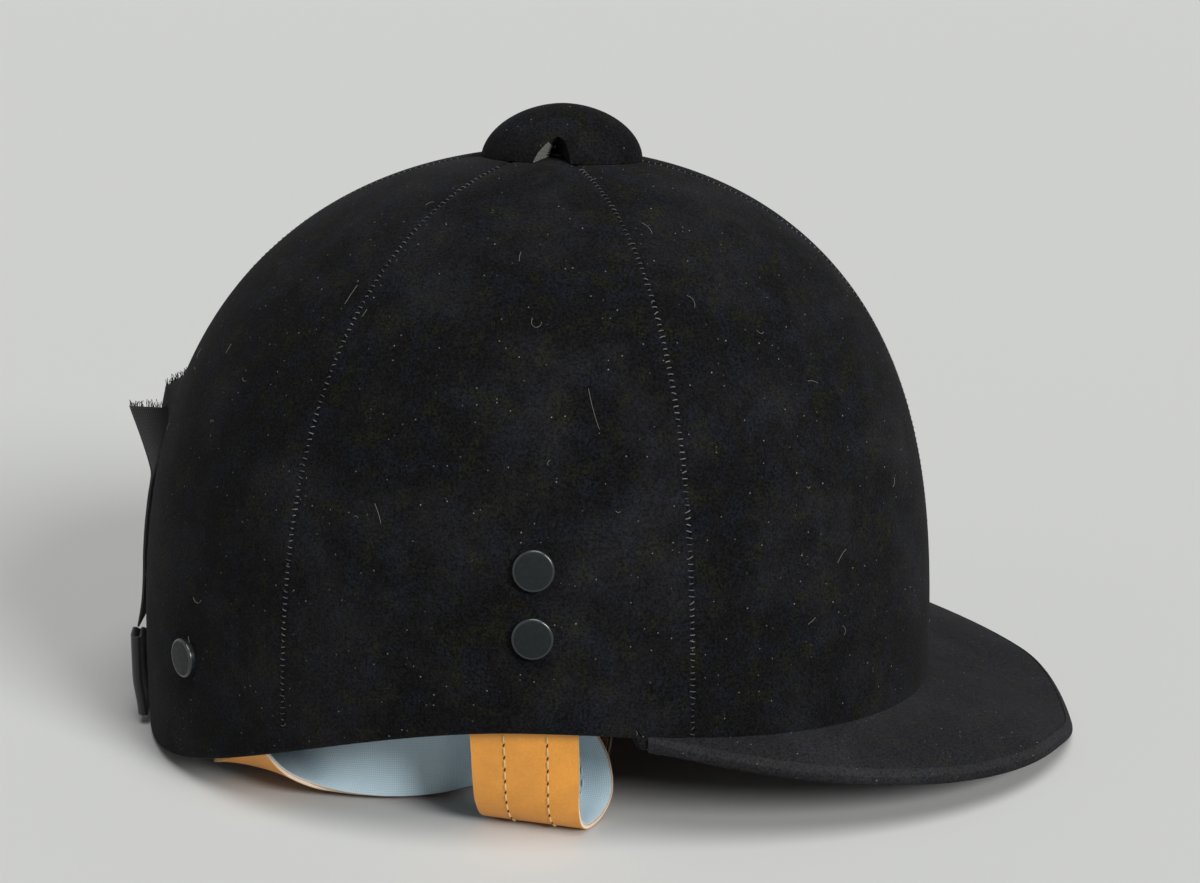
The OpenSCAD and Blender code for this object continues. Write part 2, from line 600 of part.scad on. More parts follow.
// Side strap: from the rim down to the table, round in a roll and up again inside the cap
exit_gap = 0.5;
side_start = wall_at(side_exit_angle, rim_side_h + tab_lift - exit_gap, strap_mid_d);
side_path = [side_start, side_start + [0.2, 0.8, -8], [-5.2, -97.4, 18], [-5.2, -94.7, 10],
    [-4.4, -90.8, 4], [-2.4, -85.8, 1.3], [0.8, -79.2, 2.05], [3.1, -74.4, 6.3], [2.9, -72.9, 12.6],
    [1.4, -72.57, 18.6], [-1.4, -71.95, 24.3], [-3.2, -71.55, 30]];
side_parts = len(side_path) - 1;
roll_turn = 12.5;
side_rings = 22;
exit_dir = wall_at(side_exit_angle - 1, rim_side_h, strap_mid_d)
    - wall_at(side_exit_angle + 1, rim_side_h, strap_mid_d);
exit_turn = -atan2(exit_dir[1], exit_dir[0]);
function side_across(u) = let (a = mix(exit_turn, roll_turn, smooth(u * 2.4))) [cos(a), -sin(a), 0];
function side_out(u) = unit(cross(side_across(u), slope(side_path, u)));
function side_ring(u, low, high) = let (p = curve_at(side_path, u), w = side_across(u) * (side_strap_w / 2),
    n = side_out(u)) [p - w + n * low, p + w + n * low, p + w + n * high, p - w + n * high];
module side_band(low, high, mirrored) {
    both(mirrored) loft([for (u = steps(0, 1, side_rings)) side_ring(u, low, high)]);
}
leather_high = leather_t - strap_t / 2 - 0.05;
module side_strap(mirrored) {
    color("#d08a3c") difference() {
        side_band(-strap_t / 2, leather_high, mirrored);
        junction_hole(mirrored);
    }
}
module side_lining(mirrored) {
    color("#aab4ba") difference() {
        side_band(leather_high + 0.1, strap_t / 2, mirrored);
        junction_hole(mirrored);
    }
}
module side_strap_right() { side_strap(false); }
module side_strap_left() { side_strap(true); }
module side_lining_right() { side_lining(false); }
module side_lining_left() { side_lining(true); }

// Place on the inner wall of the roll, s millimetres along it and h millimetres inwards from its middle
junction_u = 9 / side_parts;
roll_in = [sin(roll_turn), cos(roll_turn), 0];
function roll_at(s, h) = curve_at(side_path, junction_u) + side_across(1) * s + roll_in * h;
junction_s = -9;
junction_layer = strap_t + 0.6;
module junction_frame(mirrored, h) {
    both(mirrored) translate(roll_at(junction_s, h)) rotate([0, 0, -roll_turn]) rotate([-90, 0, 0])
        children();
}
module junction_hole(mirrored) {
    junction_frame(mirrored, -hole_len / 2) cylinder(r = rivet_r + slop, h = hole_len, $fn = bore_faces);
}
// Rivet that joins the nape strap to the roll of the side strap
module junction_rivet(mirrored) {
    head_h = 1.1;
    head_r = rivet_cap_r - 1.4;
    back = junction_layer + strap_t / 2 + 0.35;
    front = -strap_t / 2 - 0.35;
    color("#2a2b2d") {
        junction_frame(mirrored, front - 0.5) cylinder(r = rivet_r, h = back - front + 1, $fn = bore_faces);
        junction_frame(mirrored, back) cylinder(r = head_r, h = head_h, $fn = bore_faces);
        junction_frame(mirrored, front - head_h) cylinder(r = head_r, h = head_h, $fn = bore_faces);
    }
}
module junction_rivet_right() { junction_rivet(false); }
module junction_rivet_left() { junction_rivet(true); }

// Nape strap: one edge by hand chosen points, the other by its direction across the strap. It starts
// under its tab and ends on the roll of the side strap.
function nape_corner(s) = let (a = tab_edge(nape_tab[0], s)) wall_at(a[0], a[1] - exit_gap, strap_mid_d);
nape_front = nape_corner(-nape_strap_w / 2);
nape_rear = nape_corner(nape_strap_w / 2);
function nape_lap(s) = let (p = roll_at(s, junction_layer)) [p[0], p[1], nape_low];
nape_low = 3;
nape_edge = [nape_front, [-79.6, -77.4, 9.9], [-72, -75.4, 5], [-63.5, -75, 2.8], [-53, -74.6, 1.7],
    [-42.8, -73.4, 1.5], [-33.5, -71.2, 2], [-26.5, -67.8, 2.6], nape_lap(-21), nape_lap(-3.5)];
nape_across = [unit(nape_rear - nape_front), [-0.76, 0.64, -0.13], [-0.59, 0.79, 0.18], [-0.32, 0.62, 0.72],
    [-0.08, 0.40, 0.91], [0, 0.26, 0.96], [0.02, 0.12, 0.99], [0.02, 0.02, 1], [0, 0, 1], [0, 0, 1]];
nape_rings = 26;
function nape_ring(u, low, high) = let (p = curve_at(nape_edge, u), w = unit(curve_at(nape_across, u)),
    n = unit(cross(slope(nape_edge, u), w)), b = p + w * nape_strap_w)
    [p + n * low, b + n * low, b + n * high, p + n * high];
module nape_band(low, high, mirrored) {
    both(mirrored) loft([for (u = steps(0, 1, nape_rings)) nape_ring(u, low, high)]);
}
module nape_strap(mirrored) {
    color("#d08a3c") difference() {
        nape_band(-strap_t / 2, leather_high, mirrored);
        junction_hole(mirrored);
    }
}
module nape_lining(mirrored) {
    color("#aab4ba") difference() {
        nape_band(leather_high + 0.1, strap_t / 2, mirrored);
        junction_hole(mirrored);
    }
}
module nape_strap_right() { nape_strap(false); }
module nape_strap_left() { nape_strap(true); }
module nape_lining_right() { nape_lining(false); }
module nape_lining_left() { nape_lining(true); }

// Chin strap in two halves that lie flat on the table, the right with holes, the left with the buckle
chin_layer = strap_t / 2 + 0.6 + chin_t / 2;
chin_top_z = 20;
chin_s = 5.2;
chin_x = roll_at(chin_s, chin_layer)[0];
bar_r = 1.25;
keeper_t = 1.0;
keeper_gap = 0.3;
billet_z = chin_t / 2 + 0.3;
buckle_z = keeper_t + 2 * keeper_gap + chin_t / 2;
function chin_path(flat_z, end_y) = let (y = roll_at(chin_s, chin_layer)[1], flat_y = y + 15)
    [[chin_x, y, chin_top_z], [chin_x, y, 15], [chin_x, y + 0.6, 9], [chin_x, y + 3.4, flat_z + 2.2],
    [chin_x, y + 8.5, flat_z + 0.1], [chin_x, flat_y, flat_z], [chin_x, (flat_y + end_y) / 2, flat_z],
    [chin_x, end_y, flat_z]];
// Ring across the strap: half the width along w, half the thickness along n
function strap_ring(p, w, n) = [p - w - n, p + w - n, p + w + n, p - w + n];
function chin_ring(path, u) = let (a = roll_turn * (1 - smooth(u * 1.6)), w = [cos(a), -sin(a), 0],
    n = unit(cross(w, slope(path, u)))) strap_ring(curve_at(path, u), w * chin_w / 2, n * chin_t / 2);
chin_rings = 16;
billet_tip_y = -12;
// Distance from the shoulder of the billet's point and share of its width there
billet_point = [[3.5, 0.82], [6, 0.45], [7, 0.12]];
billet_shoulder_y = billet_tip_y - billet_point[2][0];
billet_hole_r = 1.6;
billet_hole_step = 9;
billet_first_hole = 12;
module billet_strap() {
    path = chin_path(billet_z, billet_shoulder_y);
    color("#d08a3c") difference() {
        loft(concat([for (u = steps(0, 1, chin_rings)) chin_ring(path, u)],
            [for (q = billet_point) strap_ring([chin_x, billet_shoulder_y + q[0], billet_z],
                [chin_w / 2 * q[1], 0, 0], [0, 0, -chin_t / 2])]));
        for (i = [0:3]) translate([chin_x, billet_tip_y - billet_first_hole - i * billet_hole_step, -1])
            cylinder(r = billet_hole_r, h = 6, $fn = 24);
    }
}
// Bar of the buckle, with the strap folded round it in two ears beside the prong
bar_y = 24;
loop_r = bar_r + 0.15;
bar_z = buckle_z + chin_t / 2 + loop_r;
prong_slot = 4;
fold_len = 12;
module at_bar() { translate([chin_x, bar_y, bar_z]) children(); }
slot_len = 7;
module buckle_strap() {
    path = chin_path(buckle_z, -bar_y - 2.9);
    ear = (chin_w - prong_slot) / 2;
    low = -loop_r;
    high = loop_r + chin_t;
    color("#d08a3c") {
        mirror([0, 1, 0]) loft([for (u = steps(0, 1, chin_rings)) chin_ring(path, u)]);
        for (side = [-1, 1]) at_bar() translate([side * (chin_w - ear) / 2, 0, 0]) {
            rotate([0, 90, 0]) rotate([0, 0, 180]) translate([0, 0, -ear / 2])
                rotate_extrude(angle = 180, $fn = bore_faces) translate([loop_r, 0]) square([chin_t, ear]);
            translate([-ear / 2, -0.05, low - chin_t]) cube([ear, 3.1, chin_t]);
            translate([-ear / 2, 0, 0]) rotate([90, 0, 90]) linear_extrude(height = ear)
                polygon([[-0.05, loop_r], [2.4, loop_r], [slot_len - 1, low - 0.1], [fold_len, low - 0.1],
                    [fold_len, low + chin_t], [slot_len - 0.2, low + chin_t], [3.2, high], [-0.05, high]]);
        }
        at_bar() translate([-prong_slot / 2 - 0.1, slot_len, low - 0.1])
            cube([prong_slot + 0.2, fold_len - slot_len, chin_t + 0.1]);
    }
}
// Frame of the buckle, tilted until its far side lies just over the table
frame_len = 17;
frame_half = chin_w / 2 + 1 + bar_r;
frame_corner = 2.6;
frame_tilt = asin((bar_z - bar_r - 0.3) / frame_len);
module buckle_frame() {
    color("#b9a15c") at_bar() rotate([frame_tilt, 0, 0]) {
        for (m = [0, 1]) mirror([m, 0, 0]) {
            translate([frame_half, -frame_corner, 0]) rotate([90, 0, 0])
                cylinder(r = bar_r, h = frame_len - 2 * frame_corner, $fn = bore_faces);
            for (q = [[-frame_corner, 0], [-frame_len + frame_corner, -90]])
                translate([frame_half - frame_corner, q[0], 0]) rotate([0, 0, q[1]])
                    rotate_extrude(angle = 90, $fn = bore_faces)
                        translate([frame_corner, 0]) circle(r = bar_r);
        }
        for (y = [0, -frame_len]) translate([frame_corner - frame_half, y, 0]) rotate([0, 90, 0])
            cylinder(r = bar_r, h = 2 * (frame_half - frame_corner), $fn = bore_faces);
    }
}
prong_r = 1;
prong_ring_r = bar_r + 0.08;
prong_rise = asin((bar_r + prong_r + 0.3) / frame_len);
module buckle_prong() {
    color("#b9a15c") at_bar() {
        rotate([0, 90, 0]) rotate_extrude($fn = bore_faces)
            translate([prong_ring_r, -1.3]) square([1.1, 2.6]);
        rotate([frame_tilt - prong_rise, 0, 0]) rotate([90, 0, 0]) translate([0, 0, prong_ring_r + 0.5]) {
            cylinder(r = prong_r, h = frame_len + 1 - prong_ring_r, $fn = bore_faces);
            translate([0, 0, frame_len + 1 - prong_ring_r]) sphere(r = prong_r, $fn = bore_faces);
        }
    }
}
// Keeper that slides along the left half of the chin strap
keeper_w = 7;
keeper_y = bar_y + fold_len + 2;
keeper_travel = 12;
module strap_keeper() {
    inner = [chin_w + 2 * keeper_gap, keeper_w + 2, chin_t + 2 * keeper_gap];
    outer = [inner[0] + 2 * keeper_t, keeper_w, inner[2] + 2 * keeper_t];
    color("#c07a30") translate([chin_x, keeper_y + keeper_w / 2, buckle_z]) difference() {
        cube(outer, center = true);
        cube(inner, center = true);
    }
}

// Bow on the back of the cap: two flat ribbon loops, a knot over their middle and two tails that stand up
function rear_at(y, z, out) = let (c = meridian(z / (crown_h + out)))
    wall_at(180 + asin(y / ((half_wid + out) * c)), z, -out);
// Share of the bow's height that is left where the knot gathers it
gather = 0.66;
knot_w = 9;
knot_h = bow_h * gather + 1;
loop_start = knot_w / 2 + 0.3;
loop_end = bow_w / 2;
loop_turn = 1.7;
loop_low = 1.2;
function loop_share(y) = smooth((y - loop_start) / (loop_end * 0.45));
// Point of a loop: y across, share v of the half height, h out from the loop's middle layer, which
// lies nearer the cap at its lower edge
function loop_pt(y, v, h) = let (k = loop_share(y),
    out = mix(2, 3.4 - loop_low * (1 - smooth(v + 1)), k))
    rear_at(-y, bow_z + v * bow_h / 2 * mix(gather, 1, k), out + h);
function loop_skin(v, inset) = let (y1 = loop_end - loop_turn)
    concat([for (y = steps(loop_start, y1, 5)) loop_pt(y, v, mix(1, loop_turn, loop_share(y)) - inset)],
        [for (a = [60, 30, -30, -60]) let (r = loop_turn - inset) loop_pt(y1 + r * cos(a), v, r * sin(a))],
        [for (y = steps(y1, loop_start, 5)) loop_pt(y, v, inset - mix(1, loop_turn, loop_share(y)))]);
module bow_loop(mirrored) {
    color("#0d0d10") both(mirrored) loft([for (v = [-1, -0.6, -0.2, 0.3, 1])
        concat(loop_skin(v, 0), reversed(loop_skin(v, ribbon_t)))]);
}
module bow_loop_right() { bow_loop(false); }
module bow_loop_left() { bow_loop(true); }
knot_out = 4.6;
module bow_knot() {
    profile = [[0.66, -1], [0.9, -0.82], [1, -0.35], [1, 0.35], [0.9, 0.82], [0.66, 1]];
    color("#0f0f12") loft([for (y = steps(-knot_w / 2, knot_w / 2, 4))
        let (full = 1 - 0.12 * pow(2 * y / knot_w, 2), top = 0.96 * full)
        concat([for (q = profile) rear_at(y, bow_z + q[1] * knot_h / 2 * full, knot_out * q[0] * full)],
            [for (v = steps(1, -1, 5)) rear_at(y, bow_z + v * knot_h / 2 * top, 0.4)])]);
}
// Tails: middle line by height and distance out from the velvet, width growing from the fold to the free end
tail_base_z = bow_z + bow_h / 2 + 0.45;
tail_fold = 13;
tail_rings = 16;
tail_side = 0.6;
flare = [-0.39, -0.88, 0.26];
flare_start = 0.74;
function tail_y(k) = -mix(tail_fold / 2 + 1.5, ribbon_w / 2 + tail_side, smooth(k * 2));
function tail_spine(top, outs) = [for (i = [0:len(outs) - 1]) let (k = i / (len(outs) - 1))
    rear_at(tail_y(k), mix(tail_base_z, top, k), outs[i])];
right_spine = tail_spine(tail_top_z, [3.6, 1.9, 1, 0.9, 0.9, 0.9, 1, 3.2, 6.8]);
left_spine = tail_spine(far_tail_top_z, [3.6, 1.9, 1, 0.9, 0.9, 0.9, 1.4, 3.4, 4.4]);
function tail_ring(spine, u, turn) = let (p = curve_at(spine, u),
    w = mix(tail_fold, ribbon_w, smooth(u * 2)) / 2,
    side = unit(rear_at(p[1] - 1, p[2], 0) - rear_at(p[1] + 1, p[2], 0)),
    d = unit(mix(side, flare, turn * clamp01((u - flare_start) / (1 - flare_start)))),
    n = unit(cross(d, slope(spine, u)))) strap_ring(p, d * w, n * ribbon_t / 2);
module ribbon_tail(spine, turn, mirrored) {
    color("#0d0d10") both(mirrored) loft([for (u = steps(0, 1, tail_rings)) tail_ring(spine, u, turn)]);
}
module ribbon_tail_right() { ribbon_tail(right_spine, 1, false); }
module ribbon_tail_left() { ribbon_tail(left_spine, 0, true); }

// Shift that puts the middle of the whole cap's length over the origin
tail_end = tail_ring(right_spine, 1, 1);
rear_most_x = min(rear_at(0, bow_z, knot_out)[0], tail_end[1][0], tail_end[2][0]);
shift_x = -(peak_tip_x + rear_most_x) / 2;
module place() { translate([shift_x, 0, 0]) children(); }

place() shell();
place() cover_front_right();
place() cover_side_right();
place() cover_rear_right();
place() cover_front_left();
place() cover_side_left();
place() cover_rear_left();
place() rim_binding();
place() rim_facing();
place() peak_board();
place() peak_top_cover();
place() peak_under_cover();
place() peak_edge_binding();
place() button_cover();
place() button_core();
place() button_screw();
place() button_washer();
place() crown_eyelet();
place() impact_liner();
place() head_lining();
place() crown_pad();
place() sweatband();
place() side_rivets();
place() rear_rivets();
place() rivet_washers();
place() side_tab_right();
place() side_tab_left();
place() nape_tab_right();
place() nape_tab_left();
place() side_strap_right();
place() side_strap_left();
place() side_lining_right();
place() side_lining_left();
place() nape_strap_right();
place() nape_strap_left();
place() nape_lining_right();
place() nape_lining_left();
place() junction_rivet_right();
place() junction_rivet_left();
place() billet_strap();
place() buckle_strap();
place() buckle_frame();
place() buckle_prong();
place() strap_keeper();
place() bow_knot();
place() bow_loop_right();
place() bow_loop_left();
place() ribbon_tail_right();
place() ribbon_tail_left();
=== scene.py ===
"""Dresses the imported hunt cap: velvet with its sewn seams, leather harness, rivets, ribbon bow and lining."""

import bpy
import numpy as np
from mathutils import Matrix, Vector


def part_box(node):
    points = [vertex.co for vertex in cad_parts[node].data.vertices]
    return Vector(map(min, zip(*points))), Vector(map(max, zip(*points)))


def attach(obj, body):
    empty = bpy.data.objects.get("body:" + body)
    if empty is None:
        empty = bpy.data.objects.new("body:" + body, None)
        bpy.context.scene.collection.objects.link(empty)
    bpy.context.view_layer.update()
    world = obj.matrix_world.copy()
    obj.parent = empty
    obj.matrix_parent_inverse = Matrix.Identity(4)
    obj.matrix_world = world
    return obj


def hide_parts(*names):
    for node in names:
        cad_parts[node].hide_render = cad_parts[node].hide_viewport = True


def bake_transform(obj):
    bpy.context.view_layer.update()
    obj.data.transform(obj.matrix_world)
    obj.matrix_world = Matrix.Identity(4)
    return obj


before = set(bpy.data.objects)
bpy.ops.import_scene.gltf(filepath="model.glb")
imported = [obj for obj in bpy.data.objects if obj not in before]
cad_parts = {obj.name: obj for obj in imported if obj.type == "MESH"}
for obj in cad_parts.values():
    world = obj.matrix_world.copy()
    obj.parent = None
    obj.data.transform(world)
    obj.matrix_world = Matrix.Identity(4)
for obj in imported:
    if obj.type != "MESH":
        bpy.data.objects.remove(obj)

bl_info = {
    "name": "Hunt Cap Dresser",
    "version": (1, 0, 0),
    "blender": (4, 5, 0),
    "location": "View3D > Sidebar > Hunt Cap",
    "description": "Builds the velvet, leather, ribbon and metal surfaces of a hunt cap over its CAD frame",
    "category": "Mesh",
}

MM = 0.001
# Sizes of the CAD source, in millimetres and degrees, from the front of the cap round its right side
HALF_LEN, HALF_WID, CROWN_H, CROWN_X, LEAN = 127.4, 106.4, 185.5, -11.5, 5.0
SIDE_POWER, TOP_POWER = 2.11, 3.14
VELVET_T, SHELL_IN_D, LINING_D, LINING_IN_D = 1.0, 3.7, 22.3, 23.3
LEG_IN_D, FACING_D, BAND_D, BAND_IN_D = 4.7, 9.15, 23.6, 24.8
RIM_SIDE, RIM_FRONT, RIM_HIGH, RIM_LOW = 36.0, 16.5, 88.0, 165.0
CORNER_DROP, CORNER_STEP, CORNER_RUN = 2.6, 3.2, 1.2
BINDING_H, BINDING_T, SWEATBAND_H = 8.0, 0.8, 38.0
PEAK_TIP, PEAK_START, PEAK_POWER, DROP_POWER, EDGE_LIFT, BULGE = 163.0, 28.0, 2.02, 2.1, 6.2, 2.0
PEAK_STACK, COVER_T, EDGE_W = 4.6, 0.8, 5.0
BUTTON_X, BUTTON_LEN, BUTTON_WID, BUTTON_RISE, BUTTON_LEAN, BUTTON_POWER = -2.7, 50.0, 36.0, 14.7, 0.4, 1.88
NOTCH_W, NOTCH_H, NOTCH_BACK, NOTCH_FOOT = 12.6, 8.8, 1.5, 1.5
STRAP_T, LEATHER_T, SIDE_W, NAPE_W, CHIN_W, CHIN_T = 1.6, 1.2, 31.0, 26.0, 16.0, 1.6
STRAP_D = 6.15
RIVETS = ((86.0, 65.0), (86.0, 84.0), (142.0, 41.0))
RIVET_R = 6.0
BOW_W, BOW_H, BOW_Z, RIBBON_W, RIBBON_T = 46.0, 27.0, 17.0, 19.0, 0.6
TAIL_TOPS = (104.0, 108.0)
SEAMS = (65.0, 121.0)
PEAK_ANGLE = float(np.degrees(np.arccos((PEAK_START - CROWN_X) / HALF_LEN)))
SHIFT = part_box("peak_edge_binding")[1].x / MM - PEAK_TIP
SIDES = (("right", 1.0), ("left", -1.0))


def linear(hex_colour):
    """Linear RGBA of an sRGB hex colour."""
    parts = [int(hex_colour[i:i + 2], 16) / 255 for i in (1, 3, 5)]
    return tuple(v / 12.92 if v <= 0.04045 else ((v + 0.055) / 1.055) ** 2.4 for v in parts) + (1.0,)


def power(v, e):
    """v to the power e, and 0 where v is not above 0."""
    return np.maximum(v, 0.0) ** e


def xyz(x, y, z):
    """Points from three arrays that broadcast together."""
    return np.stack(np.broadcast_arrays(x, y, z), -1).astype(float)


def smooth(k):
    """Cubic step from 0 to 1: 3k^2 - 2k^3 of k held within 0 and 1."""
    k = np.clip(k, 0.0, 1.0)
    return k * k * (3 - 2 * k)


def mix(a, b, k):
    """a at k = 0 and b at k = 1."""
    return a + (b - a) * k


def unit(v):
    """Vectors of length 1."""
    return v / np.maximum(np.linalg.norm(v, axis=-1, keepdims=True), 1e-12)


def cos(a):
    """Cosine of degrees."""
    return np.cos(np.radians(a))


def sin(a):
    """Sine of degrees."""
    return np.sin(np.radians(a))


def crown_at(t, f, d):
    """Crown's skin at plan angle t and meridian angle f, d deep: a super-ellipsoid whose top leans forward."""
    s, c = power(sin(f), 2 / TOP_POWER), power(cos(f), 2 / SIDE_POWER)
    return xyz(CROWN_X + LEAN * s * s + (HALF_LEN - d) * c * cos(t), -(HALF_WID - d) * c * sin(t),
               (CROWN_H - d) * s)


def wall_at(t, z, d):
    """The same skin by height z: the meridian's share left at z is (1 - (z/h)^top)^(1/side)."""
    s = np.maximum(z, 0.0) / (CROWN_H - d)
    c = power(1 - power(s, TOP_POWER), 1 / SIDE_POWER)
    return xyz(CROWN_X + LEAN * s * s + (HALF_LEN - d) * c * cos(t), -(HALF_WID - d) * c * sin(t), z)


def meridian(z):
    """Meridian angle of the height z."""
    return np.degrees(np.arcsin(np.clip(power(np.asarray(z, float) / CROWN_H, TOP_POWER / 2), 0, 1)))


def crown_over(x, y):
    """Height of the crown's skin over a point near its top."""
    c = np.hypot((x - CROWN_X - LEAN) / HALF_LEN, y / HALF_WID)
    return CROWN_H * power(1 - power(c, SIDE_POWER), 1 / TOP_POWER)


def normal_at(t, z):
    """Outward direction of the wall: the cross product of its two slopes."""
    p = wall_at(t, z, 0)
    return unit(np.cross(wall_at(t, z + 0.5, 0) - p, wall_at(t + 0.5, z, 0) - p))


def half_angle(t):
    """Plan angle folded onto one side of the cap."""
    t = np.mod(np.asarray(t, float), 360.0)
    return np.where(t <= 180, t, 360 - t)


def rim_z(t):
    """Rim's height: low in front, up a step at the peak's corners, highest over the ears, 0 at the back."""
    t = half_angle(t)
    corner = RIM_SIDE - CORNER_DROP
    front = mix(RIM_FRONT, corner - CORNER_STEP, power(t / PEAK_ANGLE, 1.5))
    ear = mix(corner, RIM_SIDE, 1 - power((RIM_HIGH - t) / (RIM_HIGH - PEAK_ANGLE), 2))
    ear = ear - CORNER_STEP * (1 - smooth((t - PEAK_ANGLE) / CORNER_RUN))
    back = RIM_SIDE * (1 - smooth((t - RIM_HIGH) / (RIM_LOW - RIM_HIGH)))
    return np.where(t <= PEAK_ANGLE, front, np.where(t <= RIM_HIGH, ear, back))


def panel_z(t):
    """Lower edge of the velvet panels: on the peak in front, on the binding behind."""
    return rim_z(t) + mix(PEAK_STACK, BINDING_H, smooth((half_angle(t) - PEAK_ANGLE) / 10))


def curve_at(points, u):
    """Catmull-Rom curve through the points, with straight run-outs, at shares u of its spans."""
    p = np.asarray(points, float)
    n = len(p) - 1
    p = np.vstack([2 * p[0] - p[1], p, 2 * p[n] - p[n - 1]])
    u = np.clip(np.atleast_1d(u), 0, 1) * n
    i = np.minimum(n - 1, np.floor(u)).astype(int)
    k = (u - i)[:, None]
    a, b, c, d = p[i], p[i + 1], p[i + 2], p[i + 3]
    return (b + (c - a) * (k / 2) + (2 * a - 5 * b + 4 * c - d) * (k * k / 2)
            + (3 * b - a - 3 * c + d) * (k ** 3 / 2))


def slope(points, u):
    """Direction of the curve through the points at shares u, by a short chord."""
    return unit(curve_at(points, np.minimum(1, u + 0.01)) - curve_at(points, np.maximum(0, u - 0.01)))


def graded(a, b, n):
    """n + 1 values from a to b that crowd towards both ends."""
    k = np.linspace(0, 1, n + 1)
    return mix(a, b, mix(k, smooth(k), 0.6))


def mirrored(points, side):
    """Points of the wearer's right side, or their mirror image on the left where side is -1."""
    return np.asarray(points, float) * np.array([1.0, side, 1.0])


def run_of(points):
    """Length along a line of points up to each of them, or the mean of many lines side by side."""
    steps = np.linalg.norm(np.diff(points, axis=0), axis=-1)
    return np.concatenate([[0], np.cumsum(steps.reshape(len(steps), -1).mean(1))])


def loft(rings, closed=False):
    """Solid through rings of equally many points, each an out-run and an equal back-run. Walls join ring to
    ring, and the two end rings are closed by strips between the runs. Faces are turned outwards by the
    volume's sign. Returns points, faces, the millimetres along and round the rings at each face corner, and
    each face's column, counted round the ring, or -1 at an end."""
    n, k = rings.shape[:2]
    spans = n if closed else n - 1
    i, j = np.meshgrid(np.arange(spans), np.arange(k), indexing="ij")
    near, far, nxt = i * k, ((i + 1) % n) * k, (j + 1) % k
    quads = np.stack([near + j, near + nxt, far + nxt, far + j], -1).reshape(-1, 4)
    along = run_of(np.concatenate([rings, rings[:1]]))
    around = run_of(np.swapaxes(np.concatenate([rings, rings[:, :1]], 1), 0, 1))
    uv = np.stack([np.stack([along[i], around[j]], -1), np.stack([along[i], around[j + 1]], -1),
                   np.stack([along[i + 1], around[j + 1]], -1), np.stack([along[i + 1], around[j]], -1)],
                  2).reshape(-1, 4, 2)
    column = j.reshape(-1)
    if not closed:
        m = np.arange(k // 2 - 1)
        cap = np.stack([k - 1 - m, k - 2 - m, m + 1, m], -1)
        quads = np.concatenate([quads, cap, cap[:, ::-1] + (n - 1) * k])
        uv = np.concatenate([uv, np.zeros((2 * len(cap), 4, 2))])
        column = np.concatenate([column, np.full(2 * len(cap), -1)])
    points = rings.reshape(-1, 3)
    a, b, c, d = (points[quads[:, q]] for q in range(4))
    volume = np.sum(np.cross(a, b) * c) + np.sum(np.cross(a, c) * d)
    if volume < 0:
        quads, uv = quads[:, ::-1], uv[:, ::-1]
    return points, quads, uv, column


def tubes(paths, radius, sides=6):
    """A tube round each path: circles of the given radii square to the path, and a flat face at each end."""
    paths = np.asarray(paths, float)
    count, steps = paths.shape[:2]
    along = unit(np.gradient(paths, axis=1))
    first = unit(np.cross(along, unit(np.array([0.31, 0.52, 0.79]))))
    second = np.cross(along, first)
    turn = np.arange(sides) * 2 * np.pi / sides
    size = np.broadcast_to(np.asarray(radius, float), (count, steps))[..., None, None]
    circle = np.cos(turn)[:, None] * first[:, :, None] + np.sin(turn)[:, None] * second[:, :, None]
    ring = paths[:, :, None] + size * circle
    points = ring.reshape(-1, 3)
    c, i, j = np.meshgrid(np.arange(count), np.arange(steps - 1), np.arange(sides), indexing="ij")
    base, nxt = (c * steps + i) * sides, (j + 1) % sides
    quads = np.stack([base + j, base + nxt, base + sides + nxt, base + sides + j], -1).reshape(-1, 4)
    ends = np.arange(count)[:, None] * steps * sides
    caps = [*(ends + np.arange(sides)[::-1]), *(ends + (steps - 1) * sides + np.arange(sides))]
    return points, [*quads.tolist(), *[list(map(int, q)) for q in caps]]


def joined(solids):
    """Points, faces, UV and columns of several lofts as one mesh."""
    starts = np.cumsum([0] + [len(solid[0]) for solid in solids])
    points, faces, uv, column = zip(*solids)
    return (np.concatenate(points), np.concatenate([f + n for f, n in zip(faces, starts)]), np.concatenate(uv),
            np.concatenate(column))


def linked(name, data):
    """A new object in the scene."""
    made = bpy.data.objects.new(name, data)
    bpy.context.scene.collection.objects.link(made)
    return made


def piece(name, body, points, faces, keys, slot, replaces=(), uv=None, picks=None, sharp=35.0):
    """A finished mesh piece from points in the cap's millimetres, shifted into the frame, shaded and given its
    body. keys name its materials, and picks holds the number of each face's."""
    mesh = bpy.data.meshes.new(name)
    points = (np.asarray(points, float) + [SHIFT, 0, 0]) * MM
    mesh.from_pydata(points.tolist(), [], faces if isinstance(faces, list) else faces.tolist())
    for key in keys:
        mesh.materials.append(materials()[key])
    if picks is not None:
        mesh.polygons.foreach_set("material_index", np.asarray(picks, np.int32))
    if uv is not None:
        mesh.uv_layers.new(name="length").data.foreach_set("uv", np.asarray(uv, np.float32).ravel())
    mesh.polygons.foreach_set("use_smooth", np.ones(len(mesh.polygons), bool))
    mesh.validate()
    mesh.update()
    mesh.set_sharp_from_angle(angle=np.radians(sharp))
    made = linked(name, mesh)
    if body:
        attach(made, body)
    if replaces:
        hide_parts(*replaces)
    return made


def lofted(name, body, rings, keys, slot, replaces=(), closed=False, edges=(), sharp=35.0):
    """A piece lofted through rings. Faces in the columns edges take the second material."""
    points, faces, uv, column = loft(rings, closed)
    return piece(name, body, points, faces, keys, slot, replaces, uv, np.isin(column, list(edges)), sharp)


def out_and_back(out, back):
    """Rings that run out along one skin and back along the other."""
    return np.concatenate([out, back[:, ::-1]], axis=1)


